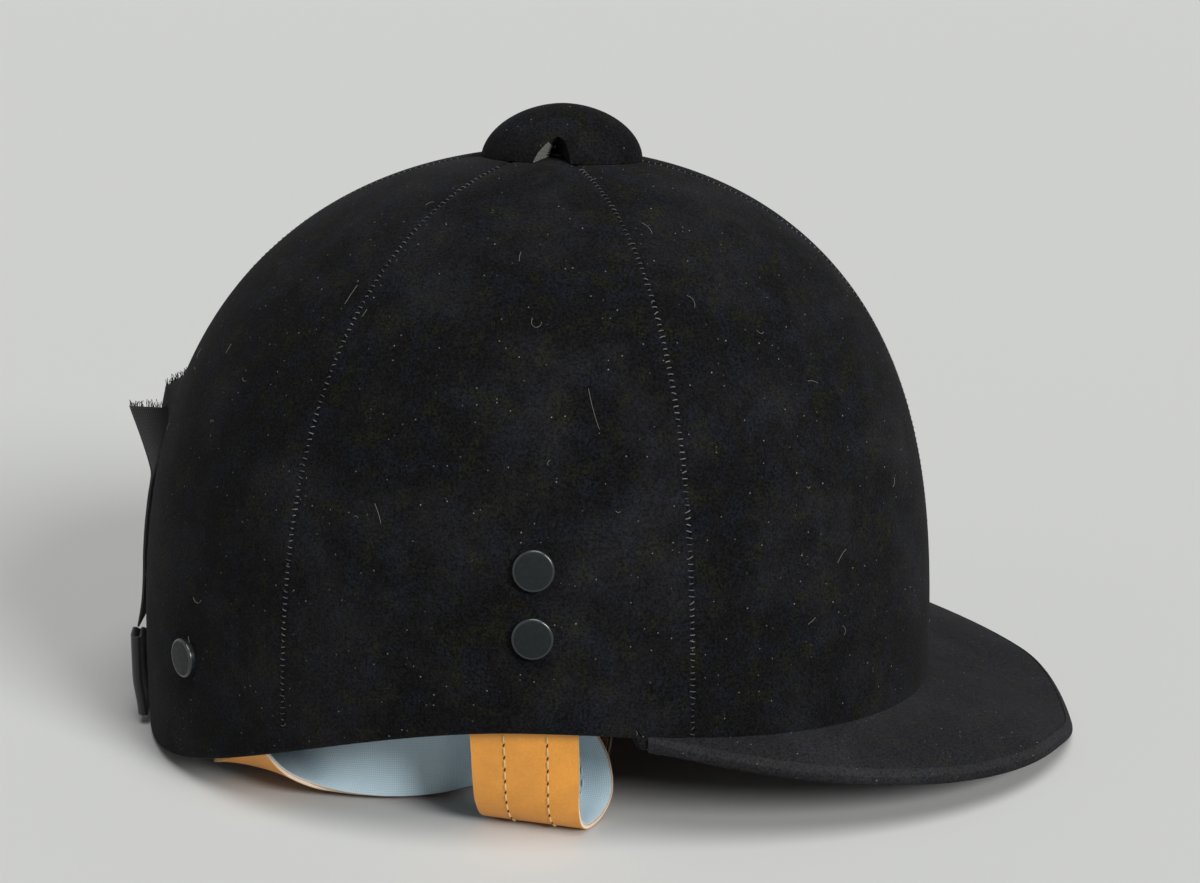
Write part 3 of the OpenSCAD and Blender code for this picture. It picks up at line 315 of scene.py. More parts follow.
def band(mid, across, out, side, low, high):
    """Rings of a band along its middle line: side says how far across each point of a ring lies, and low and
    high how far outwards the two faces do."""
    place = mid[:, None] + across[..., None, :] * np.asarray(side)[..., None]
    return out_and_back(*(place + out[:, None] * np.asarray(level)[..., None] for level in (low, high)))


# Columns of faces on the two long edges and the ends of a band with 11 points a face
BAND_EDGES = (10, 21, -1)


def strip(mid, across, out, width, low, high, bevel=0.35):
    """Band from low to high whose long edges are bevelled, less on thin leather."""
    side = np.linspace(-1, 1, 9)
    side[[0, -1]] *= 1 - bevel * 0.3 / (width / 2)
    corner = np.zeros(11)
    corner[[0, -1]] = bevel * min(1.0, (high - low) / 2.2)
    return band(mid, across, out, np.concatenate([[-1], side, [1]]) * width / 2, low + corner, high - corner)


def add(tree, kind, sockets=(), out=0, **settings):
    """Adds a shader node with its settings and returns its output out, or the node where out is None. sockets
    holds values, or the sockets to link from, by name or number, or in the order of the node's inputs."""
    made = tree.nodes.new("ShaderNode" + kind)
    for key, value in settings.items():
        setattr(made, key, value)
    for key, value in (sockets if isinstance(sockets, dict) else dict(enumerate(sockets))).items():
        if isinstance(value, bpy.types.NodeSocket):
            tree.links.new(value, made.inputs[key])
        else:
            made.inputs[key].default_value = value
    return made if out is None else made.outputs[out]


def material(name, **surface):
    """A new node material; surface holds values of its shader's sockets, with _ for a space."""
    made = bpy.data.materials.new(name)
    made.use_nodes = True
    tree = made.node_tree
    tree.nodes.clear()
    shader = add(tree, "BsdfPrincipled", {k.replace("_", " "): v for k, v in surface.items()}, None)
    add(tree, "OutputMaterial", {"Surface": shader.outputs[0]}, None)
    return made, tree, shader


def surfaced(tree, shader, shade, height=None, depth_mm=0.0, strength=1.0):
    """Gives a shader its colour and the relief of a height whose full depth is in millimetres."""
    tree.links.new(shade, shader.inputs["Base Color"])
    if height is not None:
        sockets = {"Height": height, "Distance": depth_mm * MM, "Strength": strength}
        tree.links.new(add(tree, "Bump", sockets), shader.inputs["Normal"])


def laid(tree, share, under, over, span=()):
    """Colour under with the colour over it: as much of it as share says, or as share's way through its span."""
    if span:
        share = add(tree, "MapRange", (share, *span))
    return add(tree, "Mix", {0: share, 6: under, 7: over}, 2, data_type="RGBA")


def dimmed(colour, share):
    """The colour times share."""
    return tuple(v * share for v in colour[:3]) + (1.0,)


def colour_setting(name, description, hex_colour):
    """A colour setting."""
    return bpy.props.FloatVectorProperty(name=name, description=description, default=linear(hex_colour),
                                         subtype="COLOR", size=4, min=0, max=1)


def size_setting(name, description, default, low, high):
    """A setting in millimetres."""
    return bpy.props.FloatProperty(name=name, description=description + " in millimetres", default=default,
                                   min=low, max=high)


class VelvetSettings(bpy.types.PropertyGroup):
    """The velvet of the crown, the peak and the button"""

    pile: colour_setting("Pile", "Colour deep in the pile", "#070707")
    tips: colour_setting("Tips", "Colour of the pile's brushed tips", "#18181a")
    dust: colour_setting("Dust", "Colour of the dust on the pile", "#8d8a86")
    grain_mm: size_setting("Grain", "Width of the pile's tufts", 0.77, 0.2, 2)
    groove_mm: size_setting("Groove", "Depth of the seams", 0.45, 0, 0.7)
    stitch_mm: size_setting("Stitch pitch", "Distance of the seam stitches", 1.85, 1, 5)
    fibres: bpy.props.IntProperty(name="Fibres", description="Number of loose fibres caught in the pile",
                                  default=70, min=0, max=600)


class HarnessSettings(bpy.types.PropertyGroup):
    """The leather harness"""

    leather: colour_setting("Leather", "Colour of the tan leather", "#eda03c")
    cut_edge: colour_setting("Cut edge", "Colour of the leather's cut edge", "#f6e8d6")
    lining: colour_setting("Lining", "Colour of the woven strap lining", "#cbe4f0")
    thread: colour_setting("Thread", "Colour of the strap's thread", "#f0cb83")
    stitch_mm: size_setting("Stitch pitch", "Distance of the strap's stitches", 4.1, 2, 8)


class TrimSettings(bpy.types.PropertyGroup):
    """Rivets, ribbon and lining"""

    rivet: colour_setting("Rivet", "Colour of the rivets' enamel", "#14191a")
    ribbon: colour_setting("Ribbon", "Colour of the ribbon bow", "#0f0f12")
    lining: colour_setting("Head lining", "Colour of the lining in the cap", "#7d1c27")


class StageSettings(bpy.types.PropertyGroup):
    """Floor, light and camera"""

    floor: colour_setting("Floor", "Colour of the table", "#c6c7c5")
    backdrop: colour_setting("Backdrop", "Colour behind the cap", "#dcdddb")
    light: bpy.props.FloatProperty(name="Light", description="Strength of the lamps", default=1.0, min=0, max=4)


def velvet_material(name="black_cotton_velvet", lift=0.0):
    """Cotton velvet, cut pile: matt black that lightens at grazing angles, with tufts, brushed patches, slow
    shifts of the dye towards blue and olive, and dust. lift greys the tips all over: dust on the peak's top,
    and a painted highlight on the top of its rolled edge."""
    s = bpy.context.scene.cap_velvet
    made, tree, shader = material(name, Roughness=1.0, Specular_IOR_Level=0.05, Sheen_Weight=0.09,
                                  Sheen_Roughness=0.4, Sheen_Tint=linear("#8d8c8e"))
    where = add(tree, "TexCoord", out="Object")
    apart = add(tree, "Mapping", {"Vector": where, "Location": (0.4, 0.9, 0.2)})
    # Single fibres are too fine to show, so the tufts that they stand in are drawn
    tuft = add(tree, "TexNoise", (where, 0, 1 / (s.grain_mm * MM), 3.0, 0.7))
    tips = s.tips
    for place, width_mm, rough, span, dye in ((where, 9, 0.6, (0.50, 0.62), "#1b1d24"),
                                              (apart, 8, 0.65, (0.53, 0.64), "#1f2018")):
        patch = add(tree, "TexNoise", (place, 0, 1 / (width_mm * MM), 3.0, rough))
        tips = laid(tree, patch, tips, linear(dye), span)
    shade = laid(tree, tuft, s.pile, tips, (0.36, 0.66))
    # Greyer patches, raised all over by lift: dust on the peak's top, a painted highlight on its roll's top
    cloud = add(tree, "TexNoise", (where, 0, 1 / (30 * MM), 4.0, 0.6))
    cloud = add(tree, "MapRange", (cloud, 0.45, 0.68, lift, lift + 0.2))
    worn = add(tree, "MapRange", (tuft, 0.3, 0.6, 0.4, 1.0))
    worn = add(tree, "Math", (cloud, worn), operation="MULTIPLY")
    shade = laid(tree, worn, shade, linear("#3d3d40"))
    # Specks of dust, one at most in each cell of 1.9 mm
    cells = add(tree, "TexVoronoi", {"Vector": where, "Scale": 1 / (1.9 * MM)}, None)
    near = add(tree, "MapRange", (cells.outputs["Distance"], 0.14, 0.06))
    chosen = add(tree, "MapRange", (add(tree, "SeparateColor", [cells.outputs["Color"]]), 0.72, 1.0, 0.0, 0.85))
    speck = add(tree, "Math", (near, chosen), operation="MULTIPLY")
    surfaced(tree, shader, laid(tree, speck, shade, s.dust), tuft, 0.5, 0.6)
    return made


def cloth_material(name, colour, thread_mm=0.5, dark=0.6, **surface):
    """Plain woven cloth: threads over and under each other along and across the piece, on its own UV in mm."""
    made, tree, shader = material(name, **{"Roughness": 0.85, "Sheen_Weight": 0.2, **surface})
    # A wave texture's bands repeat every 2 pi / 20 of its scaled distance
    wave = {"Vector": add(tree, "UVMap", uv_map="length"), "Scale": 2 * np.pi / 20 / (2 * thread_mm),
            "Distortion": 0.4, "Detail": 1.0}
    warp, weft = [add(tree, "TexWave", wave, "Fac", wave_type="BANDS", bands_direction=way) for way in "XY"]
    weave = add(tree, "Math", (warp, weft), operation="MULTIPLY")
    stain = add(tree, "TexNoise", (add(tree, "TexCoord", out="Object"), 0, 1 / (9 * MM), 4.0, 0.6))
    shade = laid(tree, weave, dimmed(colour, dark), colour, (0.0, 0.55))
    shade = laid(tree, stain, shade, dimmed(colour, 0.72), (0.35, 0.7, 0.0, 0.35))
    surfaced(tree, shader, shade, weave, 0.12, 0.6)
    return made


def leather_material(name, colour, edge=False, rough=0.42):
    """Bridle leather, dyed and waxed: pores, slow colour changes and a soft shine, rougher at a cut edge."""
    made, tree, shader = material(name, Roughness=rough, Specular_IOR_Level=0.45,
                                  Coat_Weight=0.0 if edge else 0.15, Coat_Roughness=0.35)
    where = add(tree, "TexCoord", out="Object")
    slow = add(tree, "TexNoise", (where, 0, 1 / (14 * MM), 3.0, 0.55))
    # Pores of 0.2 mm wouldn't show, so they are drawn in groups of 0.7 mm
    pores = add(tree, "TexNoise", (where, 0, 1 / (0.7 * MM), 4.0, 0.6))
    shade = laid(tree, slow, dimmed(colour, 0.82), colour, (0.35, 0.7))
    shade = laid(tree, pores, shade, dimmed(colour, 0.6), (0.40, 0.62, 0.22, 0.0))
    surfaced(tree, shader, shade, pores, 0.3 if edge else 0.12, 0.5)
    return made


def metal_material(name, colour, metallic, rough, **surface):
    """Plated or enamelled metal: its roughness and colour wander a little, as on stamped and handled parts."""
    made, tree, shader = material(name, Metallic=metallic, Roughness=rough, **surface)
    haze = add(tree, "TexNoise", (add(tree, "TexCoord", out="Object"), 0, 1 / (1.6 * MM), 4.0, 0.6))
    shade = laid(tree, haze, dimmed(colour, 0.8), colour, (0.35, 0.65))
    worn = add(tree, "MapRange", (haze, 0.3, 0.7, rough * 0.8, rough * 1.2))
    tree.links.new(worn, shader.inputs["Roughness"])
    surfaced(tree, shader, shade, haze, 0.02, 0.5)
    return made


def foam_material():
    """Expanded polystyrene: pale beads pressed together, each with a shallow outline."""
    made, tree, shader = material("expanded_polystyrene", Roughness=0.7)
    where = add(tree, "TexCoord", out="Object")
    cells = add(tree, "TexVoronoi", {"Vector": where, "Scale": 1 / (3.5 * MM)}, "Distance")
    shade = laid(tree, cells, linear("#e6e5df"), linear("#c9c8c2"), (0.2, 0.8))
    surfaced(tree, shader, shade, cells, -0.3, 0.6)
    return made


def seam_thread_material():
    """Black polyester thread, spun: its shine is painted as a lighter grey in its colour, which comes and goes
    along a seam and fades at the seam's two ends.
    """
    made, tree, shader = material("black_polyester_thread", Roughness=0.55, Specular_IOR_Level=0.3)
    where = add(tree, "TexCoord", out="Object")
    height = add(tree, "SeparateXYZ", [where], "Z")
    high, low = (add(tree, "MapRange", (height, *span)) for span in ((0.145, 0.178, 1.0, 0.5),
                                                                     (0.035, 0.09, 0.35, 1.0)))
    ends = add(tree, "Math", (high, low), operation="MULTIPLY")
    # Painted shine: patches along the seam where the thread's colour turns lighter grey
    shine = add(tree, "TexNoise", (where, 0, 1 / (11 * MM), 3.0, 0.6))
    shine = add(tree, "MapRange", (shine, 0.35, 0.62, 0.15, 1.0))
    share = add(tree, "Math", (ends, shine), operation="MULTIPLY")
    surfaced(tree, shader, laid(tree, share, linear("#161618"), linear("#6c6c70")))
    return made


MATERIALS = {}


def materials():
    """Every material of the cap, made once."""
    if not MATERIALS:
        harness, trim = bpy.context.scene.cap_harness, bpy.context.scene.cap_trim
        MATERIALS.update(
            # Black on the crown, dusty on the peak's top, and greyer on the top of its rolled edge: a painted
            # highlight
            velvet=velvet_material(),
            peak_velvet=velvet_material("dusty_cotton_velvet", 0.25),
            worn_velvet=velvet_material("cotton_velvet_painted_highlight", 0.42),
            # Dull drill, tape and thread, a faint shine on the ribbon and a clear one on the sateen
            facing=cloth_material("black_cotton_drill", linear("#1b1a1e"), 0.45),
            strap_lining=cloth_material("woven_cotton_tape", harness.lining, 0.34, 0.8),
            ribbon=cloth_material("grosgrain_ribbon", trim.ribbon, 0.5, 0.45, Roughness=0.6),
            head_lining=cloth_material("sateen_head_lining", trim.lining, 0.35, 0.8, Roughness=0.45,
                                       Specular_IOR_Level=0.6),
            # Warm tan with a waxed shine, its pale raw edge, and dark brown inside
            leather=leather_material("tan_bridle_leather", harness.leather),
            edge=leather_material("leather_cut_edge", harness.cut_edge, True, 0.7),
            dark_leather=leather_material("brown_sweatband_leather", linear("#4f3422")),
            thread=cloth_material("waxed_linen_thread", harness.thread, 0.3, 0.75, Roughness=0.6),
            seam_thread=seam_thread_material(),
            lint=material("cotton_lint", Base_Color=linear("#77756f"), Roughness=0.9)[0],
            # Pale cloth on each button notch's turned-in rear flank: painted light where the light falls on it
            backing=cloth_material("notch_flank_painted_light", linear("#75736f"), 0.4, 0.7),
            # Enamel that is satin on the caps' tops and glossy on their shoulders, dull zinc and warm brass
            rivet=metal_material("black_enamelled_brass", trim.rivet, 0.0, 0.5, Specular_IOR_Level=0.2),
            rivet_edge=metal_material("black_enamel_rubbed_bright", trim.rivet, 0.0, 0.26,
                                      Specular_IOR_Level=0.5, Coat_Weight=0.25, Coat_Roughness=0.2),
            steel=metal_material("zinc_plated_steel", linear("#9b9da0"), 1.0, 0.38),
            brass=metal_material("lacquered_brass", linear("#c2a25a"), 1.0, 0.28),
            # Matt fibreboard and plastic, and painted shade: the dark inside of a punched or stitched hole
            board=metal_material("moulded_fibreboard", linear("#2b2724"), 0.0, 0.8),
            shell=metal_material("moulded_abs_shell", linear("#1b1a1c"), 0.0, 0.55),
            foam=foam_material(),
            hole=material("hole_painted_shade", Base_Color=linear("#3c2412"), Roughness=0.9)[0],
        )
    return MATERIALS


# Nodes of the CAD model that stay, by the material that they get
KEPT = {"shell": ["shell"], "board": ["peak_board", "button_core"], "foam": ["impact_liner"],
        "rivet": ["button_screw", "button_washer", "crown_eyelet",
                  "junction_rivet_right", "junction_rivet_left"],
        "leather": ["side_tab_right", "side_tab_left", "nape_tab_right", "nape_tab_left"],
        "steel": ["rivet_washers"], "brass": ["buckle_frame", "buckle_prong"]}


def velvet_panel(t0, t1):
    """One panel: crown skin between two seams from the binding up to the button, its outer skin sunk beside the
    seams by depth * exp(-(distance / width)^2), once deep and narrow and once shallow and wide."""
    groove = bpy.context.scene.cap_velvet.groove_mm
    t = graded(t0, t1, 56)[:, None]
    # Rows crowd towards the lower edge
    pull, mean_radius = 1.4, 117
    low, high = (meridian(panel_z(t)) / 90) ** (1 / pull), (85.0 / 90) ** (1 / pull)
    f = 90 * mix(low, high, np.linspace(0, 1, 110)[None, :]) ** pull
    away = (np.minimum(np.abs(t - t0), np.abs(t - t1)) * np.radians(1) * mean_radius
            * power(cos(f), 2 / SIDE_POWER))
    depth = groove * np.exp(-(away / 0.75) ** 2) + 0.12 * np.exp(-(away / 3.0) ** 2)
    return out_and_back(crown_at(t, f, depth), crown_at(t, f, VELVET_T))


class CAP_OT_crown(bpy.types.Operator):
    """Six velvet panels between grooved seams, with the whipped stitches that cross the seams"""

    bl_idname = "cap.crown"
    bl_label = "Velvet crown"

    def execute(self, context):
        spans = {"front": (0.0, SEAMS[0]), "side": SEAMS, "rear": (SEAMS[1], 180.0)}
        for side, sign in SIDES:
            for part, span in spans.items():
                rings = mirrored(velvet_panel(*span), sign)
                lofted(f"velvet_{part}_{side}", "cap", rings, ["velvet"], "velvet", [f"cover_{part}_{side}"])
        self.stitches(context.scene.cap_velvet.stitch_mm)
        return {"FINISHED"}

    def stitches(self, pitch):
        """Stitches: short arches across each seam, equally far apart along it, that rise over the groove."""
        seams_top, half_mm, uneven, sunk, rise, thread_r = 183.0, 0.62, (0.12, 0.15), 0.30, 0.34, 0.16
        rng = np.random.default_rng(11)
        paths = []
        for seam in (0.0, SEAMS[0], SEAMS[1], 180.0, 360 - SEAMS[1], 360 - SEAMS[0]):
            z = mix(panel_z(seam), seams_top, np.linspace(0, 1, 900))
            run = run_of(wall_at(seam, z, 0))
            height = np.interp(np.arange(pitch / 2, run[-1], pitch), run, z)
            p = wall_at(seam, height, sunk)
            out = normal_at(np.full_like(height, seam), height)
            across = unit(wall_at(seam + 0.5, height, 0) - wall_at(seam - 0.5, height, 0))
            up = np.cross(across, out)
            half = half_mm + uneven[0] * rng.standard_normal(len(p))[:, None]
            lean = uneven[1] * rng.standard_normal(len(p))[:, None]
            k = np.linspace(-1, 1, 7)[None, :, None]
            paths.append(p[:, None] + across[:, None] * k * half[:, None] + up[:, None] * k * lean[:, None]
                         + out[:, None] * (rise * (1 - k ** 2)))
        piece("seam_stitches", "cap", *tubes(np.concatenate(paths), thread_r), ["seam_thread"], "velvet")


def binding_rings(t):
    """Rim binding: a U of velvet round the shell's edge; the bottom is a half circle as wide as the rim."""
    t = np.asarray(t, float)[:, None]
    z, top, r = rim_z(t), panel_z(t), LEG_IN_D / 2
    turn = np.linspace(180, 0, 13)[None, :]

    def skin(inset):
        return np.concatenate([wall_at(t, top, inset), wall_at(t, z + (top - z + r) / 2, inset),
                               wall_at(t, z + r - (r - inset) * sin(turn), r + (r - inset) * cos(turn)),
                               wall_at(t, z + BINDING_H, LEG_IN_D - inset)], 1)

    return out_and_back(skin(0.0), skin(BINDING_T))


class CAP_OT_rim(bpy.types.Operator):
    """Velvet binding on the shell's edge behind the peak, and the facing that closes the liner's underside"""

    bl_idname = "cap.rim"
    bl_label = "Rim"

    def execute(self, context):
        # Starts just inside the peak's velvet, with finer steps at the corner
        start, fine = PEAK_ANGLE * PEAK_END / 90 - 0.7, 3
        corner = np.linspace(start, start + fine, 16)
        middle = np.linspace(start + fine, 360 - fine - start, 200)[1:-1]
        t = np.concatenate([corner, middle, 360 - corner[::-1]])
        lofted("velvet_rim_binding", "cap", binding_rings(t), ["velvet"], "velvet", ["rim_binding"])
        t = t[:, None]
        z, d = rim_z(t) + 0.3, np.linspace(FACING_D, BAND_IN_D, 8)[None, :]
        lofted("drill_rim_facing", "cap", out_and_back(wall_at(t, z, d), wall_at(t, z + COVER_T, d)),
               ["facing"], "facing_cloth", ["rim_facing"])
        return {"FINISHED"}


PEAK_LEN, PEAK_END = PEAK_TIP - PEAK_START, 89.2
PEAK_HALF = HALF_WID * float(np.sqrt(1 - ((PEAK_START - CROWN_X) / HALF_LEN) ** 2))
TIP_SINK = 1.5 * (RIM_FRONT + np.pi * BULGE) / (PEAK_TIP - CROWN_X - HALF_LEN)


def peak_edge(e, inset):
    """Peak's outline: a super-ellipse from its right corner, e = 90, through its tip, e = 0, to the left."""
    return xyz(PEAK_START + (PEAK_LEN - inset) * power(cos(e), 2 / PEAK_POWER),
               -np.sign(e) * (PEAK_HALF - inset) * power(np.abs(sin(e)), 2 / PEAK_POWER), 0.0)


def peak_root(e, d):
    """The crown's outline where the peak leaves it."""
    t = PEAK_ANGLE * e / 90
    return xyz(CROWN_X + (HALF_LEN - d) * cos(t), -(HALF_WID - d) * sin(t), 0.0)


def peak_point(e, p, lift):
    """Peak's lower face over plan point p, plus lift: from the rim's height at the crown to the edge's height,
    with a bulge of sin(180 w) between them."""
    a, b = peak_root(e, 0), peak_edge(e, 0)
    span = np.maximum(0.5, np.linalg.norm(b - a, axis=-1))
    w = np.clip(np.sum((p - a) * (b - a), -1) / (span * span), 0, 1)
    away = np.abs(e) / 90
    edge = ((RIM_SIDE - CORNER_DROP - CORNER_STEP) * power(away, DROP_POWER)
            + EDGE_LIFT * (1 - away) * smooth(4 * away) - TIP_SINK * (1 - away) ** 2)
    low = mix(rim_z(away * PEAK_ANGLE), edge, w) + BULGE * sin(180 * w) * cos(e)
    return np.concatenate([p[..., :2], (low + lift)[..., None]], -1)


class CAP_OT_peak(bpy.types.Operator):
    """Velvet over the peak's top and round its edge, and the drill cloth under it"""

    bl_idname = "cap.peak"
    bl_label = "Peak"

    def execute(self, context):
        e = np.linspace(-PEAK_END, PEAK_END, 181)[:, None]
        reach = np.linalg.norm(peak_edge(e, 0) - peak_root(e, 0), axis=-1)
        r = PEAK_STACK / 2
        size = np.minimum(1.0, reach / (2 * r))
        roll = np.linspace(90, -90, 13)[None, :]
        under = np.maximum(0.9, np.minimum(EDGE_W, reach / 2))
        share = np.linspace(0, 1, 26)[None, :, None]
        top = mix(peak_root(e, VELVET_T - 0.1), peak_edge(e, r * size), share)
        # The binding's seam lies in a shallow crease beside the rolled edge
        crease = 0.3 * np.exp(-((share[..., 0] - 1) / 0.02) ** 2)

        def skin(inset, groove):
            rolled = peak_edge(e, (inset + (r - inset) * (1 - cos(roll))) * size)
            return np.concatenate([peak_point(e, top, PEAK_STACK - inset - groove),
                                   peak_point(e, rolled, r + (r - inset) * sin(roll)),
                                   peak_point(e, peak_edge(e, under), inset)], 1)

        # The roll's upper part, columns 26 to 29, takes the greyer velvet: a painted highlight where light
        # falls
        lofted("velvet_peak", "cap", out_and_back(skin(0.0, crease), skin(COVER_T, 0.0)),
               ["peak_velvet", "worn_velvet"], "velvet", ["peak_top_cover", "peak_edge_binding"],
               edges=range(26, 30))
        inward = mix(peak_root(e, SHELL_IN_D + 0.5), peak_edge(e, under + 0.3),
                     np.linspace(0, 1, 18)[None, :, None])
        plan = np.concatenate([peak_root(e, BAND_IN_D), inward], 1)
        rings = out_and_back(peak_point(e, plan, 0.0), peak_point(e, plan, COVER_T))
        lofted("drill_peak_underside", "cap", rings, ["facing"], "facing_cloth", ["peak_under_cover"])
        return {"FINISHED"}


BUTTON_TOP = CROWN_H + BUTTON_RISE
# The notch's arch in half widths and heights: steeper in front than behind
NOTCH_ARCH = [[-0.88, -0.4, 0], [-0.86, 0, 0], [-0.62, 0.4, 0], [-0.1, 0.84, 0], [0.35, 1, 0], [0.66, 0.76, 0],
              [0.82, 0.36, 0], [0.86, 0, 0], [0.88, -0.4, 0]]


def dome_at(t, g, foot):
    """Button's dome: a half super-ellipsoid over its foot, leaning forward towards its top."""
    c, s = power(cos(g), 2 / BUTTON_POWER), power(sin(g), 2 / BUTTON_POWER)
    return xyz(BUTTON_X + BUTTON_LEAN * s + BUTTON_LEN / 2 * c * cos(t), -BUTTON_WID / 2 * c * sin(t),
               foot + (BUTTON_TOP - foot) * s)


class CAP_OT_button(bpy.types.Operator):
    """Velvet button over the vent, with an arched notch on each side whose velvet is turned in"""

    bl_idname = "cap.button"
    bl_label = "Button"

    def execute(self, context):
        foot = crown_over(BUTTON_X + BUTTON_LEN / 2, 0.0) + 0.3
        t = np.linspace(0, 360, 257)[:-1][:, None]
        arch = curve_at(NOTCH_ARCH, np.linspace(0, 1, 80))
        arch_x, arch_z = arch[:, 0] * NOTCH_W / 2, foot + NOTCH_FOOT + (NOTCH_H - NOTCH_FOOT) * arch[:, 1]
        # The dome starts where its skin meets the crown, or the arch of a notch
        low = np.zeros_like(t)
        for _ in range(30):
            p = dome_at(t, low, foot)
            notch = np.interp(p[..., 0] - BUTTON_X + NOTCH_BACK, arch_x, arch_z, left=-50, right=-50)
            want = np.maximum(crown_over(p[..., 0], p[..., 1]) + 0.2, notch)
            share = np.clip((want - foot) / (BUTTON_TOP - foot), 0, 1)
            low = mix(low, np.degrees(np.arcsin(power(share, BUTTON_POWER / 2))), 0.6)
        base = dome_at(t, low, foot)
        floor = crown_over(base[..., 0], base[..., 1]) + 0.2
        base[..., 2] = np.where(low > 0.5, base[..., 2], floor)
        g = mix(low, 89.9, np.linspace(0, 1, 40)[None, 1:] ** 0.9)
        outer = np.concatenate([base, dome_at(t, g, foot)], 1)
        thick = np.concatenate([[2.6], np.full(39, 1.1)])[None, :, None]
        inner = outer - unit(outer - np.array([BUTTON_X, 0, foot])) * thick
        # Velvet turned in round a notch: a throat that narrows inwards
        arched = base[..., 2] > floor + 0.4
        throat = xyz(mix(BUTTON_X - NOTCH_BACK, base[..., 0], 0.3), base[..., 1] * 0.55,
                     mix(floor, base[..., 2], 0.55))
        inner[:, :1] = np.where(arched[..., None], throat, inner[:, :1])
        rings = out_and_back(outer, inner)
        points, faces, uv, column = loft(rings, closed=True)
        # The turned-in velvet on each notch's rear flank takes pale cloth: painted light on the lit flank
        behind = np.repeat((arched & (base[..., 0] < BUTTON_X - NOTCH_BACK - 1))[:, 0], rings.shape[1])
        piece("velvet_button", "cap", points, faces, ["velvet", "backing"], "velvet", ["button_cover"], uv,
              behind & (column == rings.shape[1] - 1), sharp=60)
        return {"FINISHED"}


def lathe(profile, steps=64):
    """Turned solid round +Z: the profile of (radius, height) points, swung through a full turn."""
    profile = np.asarray(profile, float)
    a = np.linspace(0, 360, steps, endpoint=False)[:, None]
    return xyz(profile[:, 0] * cos(a), profile[:, 0] * sin(a), profile[:, 1])


def on_wall(points, t, z):
    """Points made along +Z, set on the crown's wall and pointing outwards."""
    n, p = normal_at(t, z), wall_at(t, z, 0)
    x = unit(np.cross([0.0, 0.0, 1.0], n))
    return p + points[..., :1] * x + points[..., 1:2] * np.cross(n, x) + points[..., 2:] * n


class CAP_OT_rivets(bpy.types.Operator):
    """Stamped rivet caps with a rolled shoulder, sunk a little into the pile"""

    bl_idname = "cap.rivets"
    bl_label = "Rivets"

    def execute(self, context):
        r, h, bend, sunk = RIVET_R, 2.0, 0.75, -0.2
        shoulder = [(r - bend + bend * cos(a), h - bend + bend * sin(a)) for a in np.linspace(0, 90, 7)]
        profile = [(0.02, sunk), (r * 0.5, sunk), (r - 0.3, sunk), (r, 0.1), *shoulder, (r * 0.75, h + 0.06),
                   (r * 0.4, h + 0.14), (0.02, h + 0.16)]
        rings = lathe(profile)
        for group, places in (("side", RIVETS[:2]), ("rear", RIVETS[2:])):
            points, faces, uv, column = joined([loft(mirrored(on_wall(rings, t, z), sign), closed=True)
                                                for _, sign in SIDES for t, z in places])
            piece(f"{group}_rivet_caps", "cap", points, faces, ["rivet", "rivet_edge"], "black_metal",
                  [f"{group}_rivets"], uv, (column >= 3) & (column < 10))
        return {"FINISHED"}


# Middle lines of the straps on the wearer's right side
EXIT_ANGLE = RIM_HIGH - 0.8
SIDE_START = wall_at(EXIT_ANGLE, RIM_SIDE - 0.3, STRAP_D)
SIDE_PATH = np.array([SIDE_START, SIDE_START + [0.2, 0.8, -8], [-5.2, -97.4, 18], [-5.2, -94.7, 10],
                      [-4.4, -90.8, 4], [-2.4, -85.8, 1.3], [0.8, -79.2, 2.05], [3.1, -74.4, 6.3],
                      [2.9, -72.9, 12.6], [1.4, -72.57, 18.6], [-1.4, -71.95, 24.3], [-3.2, -71.55, 30]])
ROLL_TURN = 12.5
EXIT_DIR = wall_at(EXIT_ANGLE - 1, RIM_SIDE, STRAP_D) - wall_at(EXIT_ANGLE + 1, RIM_SIDE, STRAP_D)
EXIT_TURN = float(-np.degrees(np.arctan2(EXIT_DIR[1], EXIT_DIR[0])))
JUNCTION_U, JUNCTION_LAYER = 9 / 11, STRAP_T + 0.6


def side_across(u):
    """Direction across the side strap, turning from its slot in the rim to the roll."""
    a = mix(EXIT_TURN, ROLL_TURN, smooth(np.atleast_1d(u) * 2.4))
    return xyz(cos(a), -sin(a), 0.0)


def roll_at(s, h):
    """Point on the roll's inner wall, s along it and h inwards from the strap's middle."""
    return (curve_at(SIDE_PATH, JUNCTION_U)[0] + side_across(1.0)[0] * s
            + np.array([float(sin(ROLL_TURN)), float(cos(ROLL_TURN)), 0]) * h)


def tab_edge(t, z, s, slant):
    """Plan angle and height of the point s to one side of a strap's slot."""
    per_degree = np.linalg.norm(wall_at(t + 0.5, z, 0) - wall_at(t - 0.5, z, 0))
    return t + s * float(cos(slant)) / per_degree, z - s * float(sin(slant))


NAPE_T, NAPE_SLANT = 133.5, 23.0
NAPE_Z = float(rim_z(NAPE_T)) + 0.2
NAPE_FRONT = wall_at(*np.subtract(tab_edge(NAPE_T, NAPE_Z, -NAPE_W / 2, NAPE_SLANT), (0, 0.5)), STRAP_D)
NAPE_REAR = wall_at(*np.subtract(tab_edge(NAPE_T, NAPE_Z, NAPE_W / 2, NAPE_SLANT), (0, 0.5)), STRAP_D)


def nape_lap(s):
    """Lower edge of the nape strap where it lies on the roll."""
    p = roll_at(s, JUNCTION_LAYER)
    return [p[0], p[1], 3.0]


NAPE_EDGE = np.array([NAPE_FRONT, [-79.6, -77.4, 9.9], [-72, -75.4, 5], [-63.5, -75, 2.8],
                      [-53, -74.6, 1.7], [-42.8, -73.4, 1.5], [-33.5, -71.2, 2], [-26.5, -67.8, 2.6],
                      nape_lap(-21), nape_lap(-3.5)])
NAPE_ACROSS = np.array([unit(NAPE_REAR - NAPE_FRONT), [-0.76, 0.64, -0.13], [-0.59, 0.79, 0.18],
                        [-0.32, 0.62, 0.72], [-0.08, 0.40, 0.91], [0, 0.26, 0.96], [0.02, 0.12, 0.99],
                        [0.02, 0.02, 1], [0, 0, 1], [0, 0, 1]])


